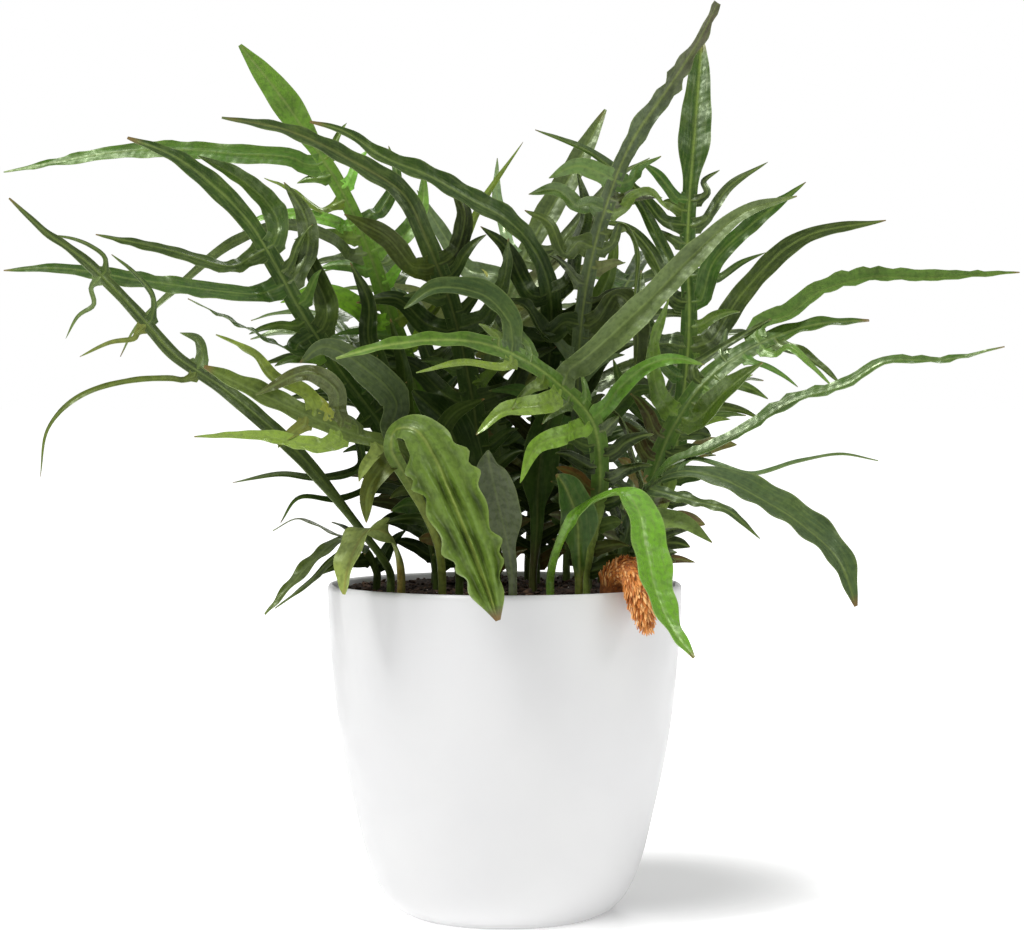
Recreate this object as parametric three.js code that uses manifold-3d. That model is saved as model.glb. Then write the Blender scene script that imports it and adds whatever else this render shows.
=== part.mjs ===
// A potted basket fern: a white round-bottomed planter filled with potting mix, a creeping rhizome
// covered with rusty scales, and arching fronds cut nearly to the midrib into long strap-like lobes.
// Millimetres, +Z up, origin at the centre of the planter's foot. The front view looks along +Y.
import * as THREE from "three";
import { mergeVertices } from "three/addons/utils/BufferGeometryUtils.js";
import Module from "manifold-3d";

const wasm = await Module();
wasm.setup();

// Driving dimensions
const RIM_HEIGHT = 166;
const RIM_RADIUS = 88.5;
const FOOT_RADIUS = 42;
const WALL = 3.2;
const FLOOR = 4;
const SOIL_BELOW_RIM = 3.5;
const CLEARANCE = 0.3;
const STALK_DEPTH = 16;
const STALK_RADIUS = 2;
const BLADE_EDGE = 0.32; // half of a blade's thickness at its edge
const BLADE_RIB = 0.75; // half of its thickness along the midrib
const LOBE_ROOT = 5; // half of the length of wing edge that a lobe grows from
const LOBE_PITCH = 14; // least distance between lobes of one side
const LOBE_LEAVES = 5; // how far a lobe runs away from the midrib before it turns its own way
const LOBE_SLANT = 0.9; // the most it runs along the midrib meanwhile, for each unit away from it
const LOBE_CLEAR = 8; // a lobe's own way begins at least this far from the wing
const LOBE_STEP = 17; // length of one flat stretch of a blade
const LOBE_TURN = 0.9; // a blade has one more stretch for every turn by this angle
const MOST_STRETCHES = 10;
const TURNS_TO_FACE = 0.16; // how far each stretch of a lobe turns toward the way the frond looks
const LOBE_NARROWS = 0.25; // a lobe narrows to its point from this share of its length on
const END_NARROWS = 0.3; // and so does an end lobe
const BROAD_END = 9; // an end lobe broader than this stays broad nearly to its point
const BROAD_NARROWS = 0.5; // from this share of its length on
const PAIRED_LOBE = 4.6; // half-width of the lobes of a frond that has them in pairs
const RHIZOME_RADIUS = 6.8;
const RHIZOME_SWELL = 0.3; // how much thicker it is where it hangs, as a share of its radius
const SCALE_HIGH = 1.08; // a scale's raised end and its sunken edge, as shares of the radius
const SCALE_LOW = 0.98;
const ROUND_SEGMENTS = 32;

// Points of the fronds are given as they stand in the front view, [across, up, depth]: across and up
// are sizes at the planter's own distance, and depth moves a point back along the line of sight.
// A frond also sweeps back or forward by a growing amount, given for SWEEP_REACH from its root.
const VIEW_DISTANCE = 1400;
const EYE_HEIGHT = 264;
const SWEEP_REACH = 250;

const soilHeight = RIM_HEIGHT - SOIL_BELOW_RIM;

function seen([across, up, depth], frond) {
  const outward = Math.hypot(across - frond.root[0], up - soilHeight) / SWEEP_REACH;
  const away = depth + frond.sweep * outward ** 1.6;
  const spread = 1 + away / VIEW_DISTANCE;
  return new THREE.Vector3(
    across * spread,
    away,
    EYE_HEIGHT + (up - EYE_HEIGHT) * spread,
  );
}

// The fronds. root is where the stalk leaves the soil, [x, y]; sweep is how far it leans back or
// forward; face is the way its upper side looks; spine is the midrib above the soil; base, wing and
// end are half-widths of the wing where it begins, of the wing further up and of the end lobe;
// lobed is the stretch of the midrib that has lobes, as shares of its length.
// A lobe is [half-width, points on its way to the tip], in order from the stalk to the end lobe.
const FRONDS = [
  {
    name: "frond_left_low",
    sweep: -50,
    root: [-56, -26],
    face: [-0.1, -0.75, 0.6],
    spine: [
      [-61, 178, -34], [-70, 190, -40], [-84, 208, -48], [-101, 228, -54], [-120, 246, -58],
      [-142, 264, -60], [-164, 279, -60], [-181, 298, -58], [-196, 314, -56], [-212, 329, -54],
      [-229, 341, -50], [-247, 358, -46],
    ],
    base: 4.6,
    wing: 3,
    end: 2,
    lobed: [0.4, 0.9],
    left: [
      [2.3, [-168, 268, -70], [-192, 266, -76], [-214, 258, -80], [-228, 243, -80], [-232, 219, -80]],
      [2.1, [-185, 288, -66], [-197, 286, -70], [-212, 279, -72]],
      [1.9, [-205, 305, -64], [-213, 299, -70], [-219, 288, -72]],
    ],
    right: [
      [4.3, [-148, 278, -54], [-153, 287, -52], [-162, 291, -54]],
      [2.3, [-176, 310, -52], [-184, 320, -50], [-196, 330, -48]],
      [1.7, [-206, 334, -48], [-216, 338, -44], [-230, 340, -42]],
    ],
  },
  {
    name: "frond_left_mid",
    sweep: -20,
    root: [-34, -6],
    face: [-0.35, -0.7, 0.6],
    spine: [
      [-42, 207, -14], [-60, 242, -20], [-82, 272, -22], [-102, 302, -20], [-115, 326, -16],
      [-130, 349, -8], [-162, 377, 2], [-188, 388, 8],
    ],
    base: 6,
    wing: 4.4,
    end: 5.2,
    lobed: [0.17, 0.72],
    left: [
      [1.9, [-64, 216, -24], [-84, 207, -30], [-103, 208, -36], [-112, 196, -38]],
      [2.1, [-72, 224, -28], [-92, 218, -34], [-112, 220, -38], [-136, 216, -42]],
      [5, [-106, 282, -38], [-126, 292, -46], [-158, 308, -50]],
      [5.2, [-127, 310, -32], [-182, 317, -34], [-222, 323, -34], [-250, 322, -34]],
      [4.1, [-137, 324, -26], [-167, 332, -26], [-204, 340, -26]],
    ],
    right: [
      [5, [-50, 252, -10], [-50, 272, -8], [-57, 298, -8]],
      [5.5, [-68, 288, -14], [-68, 306, -10], [-77, 326, -8]],
      [5.7, [-90, 308, -14], [-97, 324, -10], [-103, 343, -8]],
      [5.2, [-98, 334, -12], [-100, 350, -10], [-110, 366, -8]],
      [5.7, [-116, 352, 0], [-130, 366, 6], [-153, 379, 10]],
    ],
  },
  {
    name: "frond_left_inner",
    sweep: 50,
    root: [-16, 16],
    face: [-0.25, -0.85, 0.45],
    spine: [
      [-26, 207, 18], [-42, 257, 20], [-58, 302, 18], [-68, 332, 14], [-80, 359, 10],
      [-95, 384, 8], [-112, 409, 6], [-132, 434, 4],
    ],
    base: 5.4,
    wing: 4,
    end: 7.6,
    lobed: [0.26, 0.76],
    left: [
      [5, [-60, 270, 14], [-78, 278, 10], [-98, 272, 8]],
      [5.2, [-74, 304, 10], [-92, 312, 6], [-112, 306, 4]],
      [
        2.9,
        [-86, 338, -8], [-108, 345, -26], [-136, 336, -42], [-163, 314, -54], [-184, 294, -58],
        [-192, 279, -58],
      ],
      [3.4, [-84, 346, 6], [-104, 350, 4], [-122, 348, 2], [-131, 342, 0]],
      [1.9, [-92, 352, 4], [-106, 362, 2], [-120, 368, 0]],
      [5, [-106, 378, 6], [-135, 380, 4], [-160, 382, 2], [-192, 381, -2], [-250, 371, -8]],
    ],
    right: [
      [4.6, [-30, 270, 30], [-14, 286, 38], [-4, 300, 42]],
      [2.7, [-38, 300, 24], [-23, 330, 26], [-12, 355, 28], [9, 386, 30]],
      [5, [-52, 338, 20], [-42, 352, 24], [-40, 372, 26]],
      [3.6, [-62, 352, 20], [-54, 368, 22], [-58, 384, 24]],
    ],
  },
  {
    name: "frond_centre_left",
    sweep: -8,
    root: [-6, -8],
    face: [-0.1, -0.8, 0.5],
    spine: [
      [-10, 207, -8], [-16, 257, -6], [-26, 302, -4], [-39, 337, -4], [-50, 359, -6],
      [-72, 374, -8], [-107, 391, -10], [-141, 398, -12],
    ],
    base: 5.6,
    wing: 5,
    end: 5.4,
    lobed: [0.22, 0.58],
    left: [
      [5.2, [-32, 262, 0], [-48, 276, 4], [-66, 276, 6]],
      [5.5, [-40, 296, 0], [-54, 308, 4], [-74, 306, 6]],
      [5.7, [-46, 324, -2], [-58, 338, 0], [-80, 350, 2]],
    ],
    right: [
      [5, [2, 262, 2], [12, 278, 10], [26, 284, 16]],
      [5.2, [-10, 298, -8], [0, 318, -12], [2, 338, -14]],
      [5, [-24, 332, 2], [-20, 350, 4], [-28, 368, 4]],
    ],
  },
  {
    name: "frond_arching_left",
    sweep: -25,
    root: [16, 24],
    face: [0.1, -0.8, 0.5],
    spine: [
      [17, 232, 26], [23, 287, 24], [22, 312, 16], [15, 331, 4], [2, 346, -8],
      [-17, 357, -16], [-38, 369, -22], [-60, 378, -26], [-80, 391, -28], [-97, 396, -28],
    ],
    base: 5.6,
    wing: 5.4,
    end: 6.2,
    lobed: [0.2, 0.5],
    left: [
      [5, [-2, 262, 18], [-12, 274, 16], [-28, 274, 14]],
      [5.2, [4, 292, 16], [-8, 308, 14], [-20, 312, 12]],
      [5, [8, 318, 16], [0, 334, 14], [-12, 344, 12]],
    ],
    right: [
      [5, [38, 262, 34], [50, 280, 40], [66, 286, 44]],
      [5.2, [40, 298, 38], [52, 320, 44], [56, 344, 46]],
      [4.6, [34, 332, 32], [40, 350, 38], [36, 372, 40]],
    ],
  },
  {
    name: "frond_centre_back",
    sweep: 60,
    root: [-4, 46],
    face: [0.1, -0.7, 0.5],
    spine: [[-2, 222, 50], [-8, 272, 56], [0, 307, 60], [15, 339, 60], [32, 368, 58], [50, 402, 56]],
    base: 5.6,
    wing: 5,
    end: 7,
    lobed: [0.22, 0.66],
    left: [
      [5.5, [-26, 258, 46], [-40, 270, 44], [-56, 268, 42]],
      [5.5, [-26, 294, 52], [-42, 310, 50], [-60, 316, 48]],
      [5, [-18, 322, 66], [-32, 342, 70], [-44, 362, 72]],
      [3.2, [0, 342, 66], [-4, 358, 68], [-4, 378, 70]],
    ],
    right: [
      [5.5, [14, 268, 52], [30, 284, 50], [48, 286, 48]],
      [5, [22, 306, 56], [40, 322, 54], [60, 326, 54]],
      [4.3, [36, 338, 66], [50, 352, 72], [68, 356, 76]],
      [3.2, [46, 358, 64], [58, 370, 68], [72, 378, 72]],
    ],
  },
  {
    name: "frond_right_tall",
    sweep: 0,
    root: [42, 8],
    face: [0.5, -0.75, 0.3],
    spine: [
      [40, 217, 6], [36, 262, 4], [40, 312, 6], [49, 350, 8], [62, 384, 10],
      [80, 411, 12], [95, 434, 14], [106, 455, 16],
    ],
    base: 5,
    wing: 4.4,
    end: 5,
    lobed: [0.22, 0.68],
    left: [
      [4.8, [20, 250, -4], [8, 262, -10], [-8, 262, -14]],
      [5.2, [20, 290, -6], [10, 304, -20], [-4, 308, -30]],
      [4.8, [30, 330, -4], [22, 346, -8], [10, 352, -10]],
      [4.1, [36, 354, 0], [26, 362, -4], [12, 360, -8]],
      [4.6, [50, 370, 4], [36, 374, 2], [22, 368, 0]],
    ],
    right: [
      [4.8, [52, 250, 12], [66, 262, 14], [82, 262, 16]],
      [5.7, [55, 310, 10], [63, 304, 14], [66, 284, 20], [61, 258, 22]],
      [2.5, [58, 346, 4], [66, 336, 0], [65, 306, -2]],
      [2.7, [64, 360, 6], [72, 362, 4], [82, 352, 2]],
      [3.2, [66, 374, 8], [78, 379, 6]],
    ],
  },
  {
    name: "frond_right_upright",
    sweep: 60,
    root: [66, 24],
    face: [0.0, -0.95, 0.25],
    spine: [
      [80, 207, 26], [89, 257, 28], [92, 297, 28], [91, 332, 28], [92, 357, 28],
      [95, 397, 28], [98, 437, 30],
    ],
    base: 5,
    wing: 4,
    end: 8.6,
    lobed: [0.26, 0.7],
    left: [
      [5, [72, 250, 26], [60, 262, 26], [54, 278, 26]],
      [5.2, [76, 286, 34], [68, 302, 38], [68, 322, 40]],
      [4.1, [82, 312, 24], [72, 332, 20], [60, 344, 18], [46, 346, 18]],
      [3.2, [82, 326, 26], [74, 342, 26], [63, 362, 24], [45, 379, 22], [15, 392, 20]],
      [3.6, [78, 347, 24], [70, 357, 22], [61, 367, 20]],
      [3.2, [84, 358, 26], [76, 370, 26], [68, 376, 26]],
    ],
    right: [
      [5.5, [104, 288, 34], [118, 310, 38], [148, 338, 38], [190, 347, 36]],
      [5, [99, 308, 24], [104, 326, 18], [122, 344, 16], [150, 366, 16]],
      [2.5, [106, 318, 42], [118, 326, 46], [130, 331, 48]],
      [2.9, [102, 350, 32], [112, 364, 34], [131, 376, 34]],
      [1.9, [99, 366, 30], [107, 372, 30]],
    ],
  },
  {
    name: "frond_right_reach",
    sweep: 20,
    root: [64, -2],
    face: [0.3, -0.6, 0.75],
    spine: [
      [72, 212, -6], [84, 243, -8], [102, 268, -8], [125, 284, -8], [152, 294, -8],
      [182, 297, -8],
    ],
    base: 5,
    wing: 5.4,
    end: 4,
    lobed: [0.3, 0.74],
    left: [
      [4.6, [76, 262, -12], [74, 284, -14], [82, 308, -14]],
      [2.3, [100, 278, -4], [116, 288, -4], [133, 298, -4]],
      [5, [141, 299, -4], [157, 311, 0], [182, 318, 4], [212, 318, 4], [257, 321, 4]],
    ],
    right: [
      [6.4, [96, 249, -14], [112, 263, -24], [129, 276, -30]],
      [1.9, [104, 258, -16], [112, 265, -18], [124, 270, -20]],
      [2.1, [142, 284, -22], [152, 276, -28], [164, 264, -34]],
    ],
  },
  {
    name: "frond_right_drooping",
    sweep: -30,
    root: [56, -22],
    face: [0.1, -0.55, 0.85],
    spine: [
      [62, 190, -30], [70, 211, -42], [88, 221, -54], [107, 218, -62], [127, 208, -66],
      [148, 195, -70], [167, 177, -72], [176, 154, -72],
    ],
    base: 5.4,
    wing: 5.6,
    end: 10.6,
    lobed: [0.16, 0.4],
    left: [
      [4.6, [64, 232, -32], [60, 246, -32], [50, 256, -34]],
      [
        4.8,
        [100, 231, -44], [120, 241, -42], [144, 256, -42], [172, 265, -42], [190, 276, -42],
        [220, 277, -42], [250, 284, -42],
      ],
      [1.6, [124, 220, -56], [146, 226, -52], [168, 230, -50], [187, 227, -48]],
    ],
    right: [
      [5, [78, 198, -54], [90, 196, -62], [104, 186, -66]],
      [3.2, [98, 206, -72], [112, 202, -80], [128, 188, -86]],
    ],
  },
  {
    name: "frond_front_arching",
    sweep: -10,
    root: [40, -34],
    face: [-0.1, -0.75, 0.6],
    spine: [
      [45, 192, -40], [48, 220, -48], [44, 246, -58], [28, 264, -70], [10, 277, -80],
      [-10, 285, -88], [-32, 287, -92], [-60, 284, -96], [-84, 278, -98],
    ],
    base: 4.6,
    wing: 5.4,
    end: 4.2,
    lobed: [0.26, 0.66],
    left: [
      [4.6, [30, 240, -78], [16, 234, -88], [8, 216, -96]],
      [5, [16, 254, -88], [0, 252, -96], [-14, 240, -100]],
      [2.1, [-6, 274, -94], [-20, 276, -98], [-44, 271, -102]],
    ],
    right: [
      [4.1, [56, 262, -46], [70, 274, -46], [84, 278, -46], [100, 275, -46]],
      [6.8, [42, 280, -68], [72, 307, -68], [97, 332, -68], [120, 351, -68], [146, 359, -68]],
      [6.8, [2, 296, -72], [-10, 309, -66], [-34, 313, -66], [-50, 303, -70]],
    ],
  },
  {
    name: "frond_front_left",
    sweep: -25,
    root: [-22, -40],
    face: [-0.2, -0.7, 0.65],
    spine: [
      [-26, 187, -48], [-36, 212, -58], [-52, 232, -70], [-76, 240, -82], [-102, 251, -88],
      [-126, 262, -92], [-150, 274, -92],
    ],
    base: 5,
    wing: 5.6,
    end: 6,
    lobed: [0.24, 0.7],
    left: [
      [5, [-62, 222, -88], [-68, 212, -92], [-69, 196, -94]],
      [4.6, [-92, 234, -98], [-122, 239, -102], [-155, 239, -104]],
    ],
    right: [
      [5.7, [-34, 234, -52], [-26, 250, -48], [-10, 258, -46]],
      [7.5, [-54, 256, -64], [-68, 272, -66], [-90, 284, -70], [-102, 276, -74]],
      [4.6, [-84, 262, -78], [-98, 271, -86], [-124, 260, -100]],
      [4.1, [-116, 268, -84], [-126, 280, -84], [-144, 290, -84]],
    ],
  },
  {
    name: "frond_front_drooping",
    sweep: 0,
    root: [-30, -54],
    face: [-0.1, -0.85, 0.5],
    spine: [
      [-33, 184, -62], [-41, 204, -74], [-50, 220, -85], [-56, 232, -94], [-54, 242, -102],
      [-44, 242, -108], [-34, 227, -112], [-26, 208, -114], [-18, 188, -115], [-10, 167, -115],
      [-3, 147, -114],
    ],
    base: 3.4,
    wing: 6,
    end: 13.6,
    lobed: [0.42, 0.42],
    left: [],
    right: [],
  },
  {
    name: "frond_left_rim",
    sweep: 0,
    root: [-64, -2],
    face: [-0.3, -0.6, 0.75],
    spine: [[-70, 182, -6], [-80, 188, -18], [-94, 178, -34], [-108, 163, -46], [-120, 150, -52]],
    base: 3.4,
    wing: 4,
    end: 4,
    lobed: [0.3, 0.42],
    left: [
      [2.1, [-86, 178, -34], [-98, 166, -50], [-115, 153, -62]],
    ],
    right: [
      [2.7, [-92, 194, -8], [-104, 198, -2], [-116, 192, 2]],
    ],
  },
  {
    name: "frond_front_right_plain",
    sweep: 0,
    root: [22, -56],
    face: [0.45, -0.6, 0.65],
    spine: [
      [26, 182, -62], [34, 198, -70], [47, 208, -80], [60, 210, -90], [67, 201, -98],
      [71, 182, -104], [76, 160, -108], [84, 142, -110], [95, 128, -112],
    ],
    base: 3,
    wing: 5,
    end: 10,
    lobed: [0.3, 0.3],
    left: [],
    right: [],
  },
  {
    name: "leaf_base_front",
    sweep: 0,
    root: [4, -62],
    face: [-0.15, -0.95, 0.2],
    spine: [[2, 184, -66], [-3, 206, -72], [-7, 224, -80], [-8, 232, -88]],
    base: 3,
    wing: 6,
    end: 10,
    lobed: [0.2, 0.2],
    left: [],
    right: [],
  },
  {
    name: "leaf_base_left",
    sweep: 0,
    root: [-50, -46],
    face: [-0.7, -0.55, 0.5],
    spine: [
      [-53, 179, -50], [-58, 190, -57], [-66, 193, -66], [-73, 185, -74], [-78, 172, -80],
      [-80, 160, -83],
    ],
    base: 3,
    wing: 7,
    end: 10,
    lobed: [0.3, 0.3],
    left: [],
    right: [],
  },
  {
    name: "leaf_base_centre",
    sweep: 0,
    root: [-14, -28],
    face: [-0.1, -0.9, 0.4],
    spine: [[-16, 194, -28], [-20, 220, -30], [-28, 244, -34], [-46, 262, -40]],
    base: 3,
    wing: 8,
    end: 11,
    lobed: [0.3, 0.3],
    left: [],
    right: [],
  },
  {
    name: "leaf_base_right",
    sweep: 0,
    root: [36, -50],
    face: [0.15, -0.9, 0.4],
    spine: [[37, 182, -54], [36, 198, -58], [31, 212, -64], [26, 220, -72]],
    base: 3,
    wing: 7,
    end: 9.4,
    lobed: [0.22, 0.22],
    left: [],
    right: [],
  },
  {
    name: "leaf_base_inner",
    sweep: 0,
    root: [14, -24],
    face: [0.15, -0.9, 0.4],
    spine: [[16, 192, -26], [17, 220, -30], [22, 246, -34], [34, 264, -42]],
    base: 3,
    wing: 7,
    end: 9,
    lobed: [0.3, 0.3],
    left: [],
    right: [],
  },
  {
    name: "frond_back_left",
    sweep: 0,
    root: [-36, 38],
    face: [0.25, -0.5, 0.85],
    spine: [[-46, 212, 52], [-60, 252, 76], [-76, 284, 104], [-92, 304, 136], [-108, 312, 170]],
    base: 5,
    wing: 4,
    end: 5,
    lobed: [0.3, 0.76],
    pairs: 5,
    reach: 62,
    left: [],
    right: [],
  },
  {
    name: "frond_back_centre",
    sweep: 0,
    root: [12, 64],
    face: [0.02, -0.55, 0.85],
    spine: [[14, 212, 80], [18, 258, 106], [20, 294, 138], [20, 318, 176], [18, 326, 214]],
    base: 5,
    wing: 4,
    end: 5,
    lobed: [0.3, 0.76],
    pairs: 5,
    reach: 54,
    left: [],
    right: [],
  },
  {
    name: "frond_back_right",
    sweep: 0,
    root: [50, 48],
    face: [-0.3, -0.5, 0.85],
    spine: [[62, 208, 64], [76, 244, 90], [88, 274, 120], [98, 292, 152], [110, 300, 184]],
    base: 5,
    wing: 4,
    end: 5,
    lobed: [0.3, 0.76],
    pairs: 5,
    reach: 60,
    left: [],
    right: [],
  },
  {
    name: "frond_back_inner_left",
    sweep: 0,
    root: [-22, 58],
    face: [0.2, -0.6, 0.8],
    spine: [[-26, 222, 64], [-36, 272, 80], [-52, 308, 104], [-70, 334, 132], [-88, 350, 162]],
    base: 5.4,
    wing: 4.4,
    end: 5.4,
    lobed: [0.3, 0.76],
    pairs: 4,
    reach: 52,
    left: [],
    right: [],
  },
  {
    name: "frond_back_inner_right",
    sweep: 0,
    root: [32, 58],
    face: [-0.2, -0.6, 0.8],
    spine: [[34, 222, 64], [44, 270, 80], [56, 305, 104], [68, 326, 132], [80, 334, 162]],
    base: 5.4,
    wing: 4.4,
    end: 5.4,
    lobed: [0.3, 0.76],
    pairs: 4,
    reach: 50,
    left: [],
    right: [],
  },
];

// A frond is one thin closed sheet. It is made of rings of six points: left edge, midrib and right
// edge on the upper side, then the same three on the underside in the opposite order.
const LEFT_WALL = 5;
const RIGHT_WALL = 2;

function clamp(value, low, high) {
  return Math.min(high, Math.max(low, value));
}

function ease(value, low, high) {
  const share = clamp((value - low) / (high - low), 0, 1);
  return share * share * (3 - 2 * share);
}

// How a lobe narrows to its point from a share of its length on.
function taperFrom(share, start) {
  const gone = clamp((share - start) / (1.01 - start), 0, 1);
  return (1 - gone * gone) ** 0.9;
}

function addRing(sheet, edges, thickness) {
  const ring = [];
  const start = sheet.points.length;
  edges.forEach(({ at, upper }, k) => {
    const half = k === 1 ? thickness.rib : thickness.edge;
    ring.push(start + k);
    sheet.points.push(at.clone().addScaledVector(upper, half));
  });
  [...edges].reverse().forEach(({ at, upper }, k) => {
    const half = k === 1 ? thickness.rib : thickness.edge;
    ring.push(start + 3 + k);
    sheet.points.push(at.clone().addScaledVector(upper, -half));
  });
  return ring;
}

// Both faces of the blade are split into triangles along the same diagonals.
function joinRings(sheet, from, to, open) {
  for (let k = 0; k < 6; k += 1) {
    if (open.includes(k)) {
      continue;
    }
    const next = (k + 1) % 6;
    if (k < 3) {
      sheet.faces.push(from[k], from[next], to[next], from[k], to[next], to[k]);
    } else {
      sheet.faces.push(from[k], from[next], to[k], from[next], to[next], to[k]);
    }
  }
}

function closeRing(sheet, ring, outward) {
  const [a, b, c, d, e, f] = ring;
  const patches = [[a, b, e], [a, e, f], [b, c, d], [b, d, e]];
  for (const [p, q, r] of patches) {
    sheet.faces.push(...(outward ? [p, q, r] : [p, r, q]));
  }
}

function frameOn(line, share, face) {
  const at = line.getPointAt(share);
  const along = line.getTangentAt(share);
  const upper = face.clone().addScaledVector(along, -face.dot(along)).normalize();
  const side = new THREE.Vector3().crossVectors(along, upper);
  return { at, along, upper, side };
}

// How sharply a line turns toward one side, as one over the radius of the turn.
function bendAcross(line, share, side) {
  const step = 0.04;
  const [from, to] = [Math.max(0, share - step), Math.min(1, share + step)];
  const turned = line.getTangentAt(to).sub(line.getTangentAt(from));
  return Math.abs(turned.dot(side)) / ((to - from) * line.getLength()) + 1e-6;
}

// The whole angle that a line turns through.
function turnOf(line) {
  let turn = 0;
  for (let k = 0; k < 12; k += 1) {
    turn += line.getTangentAt(k / 12).angleTo(line.getTangentAt((k + 1) / 12));
  }
  return turn;
}

// One strap-like lobe. It starts on the open part of the wing's edge, keeps the wing's upper side
// at first and turns slowly toward the way the whole frond looks.
function addLobe(sheet, root, rootHalf, frame, sign, lobe, face, phase) {
  const [half, points] = lobe;
  const start = frame.at.clone();
  const leaves = Math.min(LOBE_LEAVES, 0.4 * start.distanceTo(points[0]));
  const ahead = points[0].clone().sub(start).normalize().dot(frame.along);
  const leave = start.clone()
    .addScaledVector(frame.side, sign * leaves)
    .addScaledVector(frame.along, leaves * clamp(ahead, 0, LOBE_SLANT));
  const path = points.filter((point) => point.distanceTo(start) > LOBE_CLEAR);
  const line = new THREE.CatmullRomCurve3([start, leave, ...path], false, "centripetal");
  const length = line.getLength();
  const stretches = length / LOBE_STEP + turnOf(line) / LOBE_TURN - 0.8;
  const count = clamp(Math.round(stretches), 3, MOST_STRETCHES);
  const upper = frame.upper.clone();
  let last = root;
  for (let k = 1; k <= count; k += 1) {
    const share = k / count;
    const at = line.getPointAt(share);
    const along = line.getTangentAt(share);
    upper.lerp(face, TURNS_TO_FACE);
    upper.addScaledVector(along, -upper.dot(along)).normalize();
    const side = new THREE.Vector3().crossVectors(along, upper);
    const taper = Math.max(0.1, taperFrom(share, LOBE_NARROWS));
    const spread = rootHalf + (half - rootHalf) * ease(share * length, 0, 2.5 * half);
    const broad = spread * taper * (1 + 0.06 * Math.sin(phase + 2.4 * k));
    const width = Math.min(broad, 0.7 / bendAcross(line, share, side));
    const ripple = Math.min(1, half / 5) * (1 - ease(share, 0.8, 1));
    const rise = (across) => ripple * Math.sin(phase + across + 2.1 * k);
    const edges = [-1, 0, 1].map((across) => ({
      at: at.clone()
        .addScaledVector(side, across * width)
        .addScaledVector(upper, Math.abs(across) * (0.2 * width + rise(across))),
      upper,
    }));
    const ring = addRing(sheet, edges, { edge: BLADE_EDGE, rib: 0.5 + 0.2 * (1 - share) });
    joinRings(sheet, last, ring, []);
    last = ring;
  }
  closeRing(sheet, last, true);
}

// Lobes of a frond whose lobes are given by a rule: pairs that leave the midrib slanting forward,
// longest in the middle of the frond, and droop toward their tips.
function pairedLobe(frame, sign, wing, reach) {
  const ways = [0.35, 0.7, 1];
  const points = ways.map((way) => frame.at.clone()
    .addScaledVector(frame.side, sign * (wing + reach * way * 0.72))
    .addScaledVector(frame.along, reach * way * 0.62)
    .add(new THREE.Vector3(0, 0, -reach * 0.3 * way * way)));
  return [PAIRED_LOBE, points];
}

function nearestShare(line, point, low, high) {
  let best = low;
  let least = Infinity;
  for (let k = 0; k <= 80; k += 1) {
    const share = low + ((high - low) * k) / 80;
    const distance = line.getPointAt(share).distanceTo(point);
    if (distance < least) {
      least = distance;
      best = share;
    }
  }
  return best - (0.3 * least) / line.getLength();
}

// Where the lobes of one side stand on the midrib, in order and never closer than their own width.
function spreadAlong(wanted, pitch, low, high) {
  const shares = wanted.map((share) => clamp(share, low, high));
  for (let k = 1; k < shares.length; k += 1) {
    shares[k] = Math.max(shares[k], shares[k - 1] + pitch);
  }
  shares[shares.length - 1] = Math.min(shares[shares.length - 1], high);
  for (let k = shares.length - 2; k >= 0; k -= 1) {
    shares[k] = Math.min(shares[k], shares[k + 1] - pitch);
  }
  return shares;
}

// Lobes stand nearly opposite each other: every stand has a place on the midrib and a lobe on one
// side or on both.
function standsOf(frond, line, face) {
  const [low, high] = frond.lobed;
  if (frond.pairs) {
    return Array.from({ length: frond.pairs }, (_, k) => {
      const share = low + ((high - low) * k) / (frond.pairs - 1);
      const frame = frameOn(line, share, face);
      const reach = frond.reach * (0.62 + 0.38 * Math.sin((Math.PI * (k + 0.6)) / frond.pairs));
      return {
        share,
        left: pairedLobe(frame, -1, frond.base, reach),
        right: pairedLobe(frame, 1, frond.base, reach * 0.94),
      };
    });
  }
  const placed = [];
  for (const name of ["left", "right"]) {
    for (const [half, ...points] of frond[name]) {
      const path = points.map((point) => seen(point, frond));
      placed.push({ name, lobe: [half, path], share: nearestShare(line, path[0], low, high) });
    }
  }
  const more = frond.left.length >= frond.right.length ? "left" : "right";
  const stands = placed.filter((item) => item.name === more)
    .map((item) => ({ share: item.share, [more]: item.lobe }));
  let first = 0;
  const others = placed.filter((item) => item.name !== more);
  others.forEach((item, k) => {
    const lastFree = stands.length - (others.length - k);
    let best = first;
    for (let j = first; j <= lastFree; j += 1) {
      if (Math.abs(stands[j].share - item.share) < Math.abs(stands[best].share - item.share)) {
        best = j;
      }
    }
    stands[best][item.name] = item.lobe;
    stands[best].share = (stands[best].share + item.share) / 2;
    first = best + 1;
  });
  if (stands.length > 0) {
    const pitch = LOBE_PITCH / line.getLength();
    const shares = spreadAlong(stands.map((stand) => stand.share), pitch, low, high);
    shares.forEach((share, k) => {
      stands[k].share = share;
    });
  }
  return stands;
}

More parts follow.
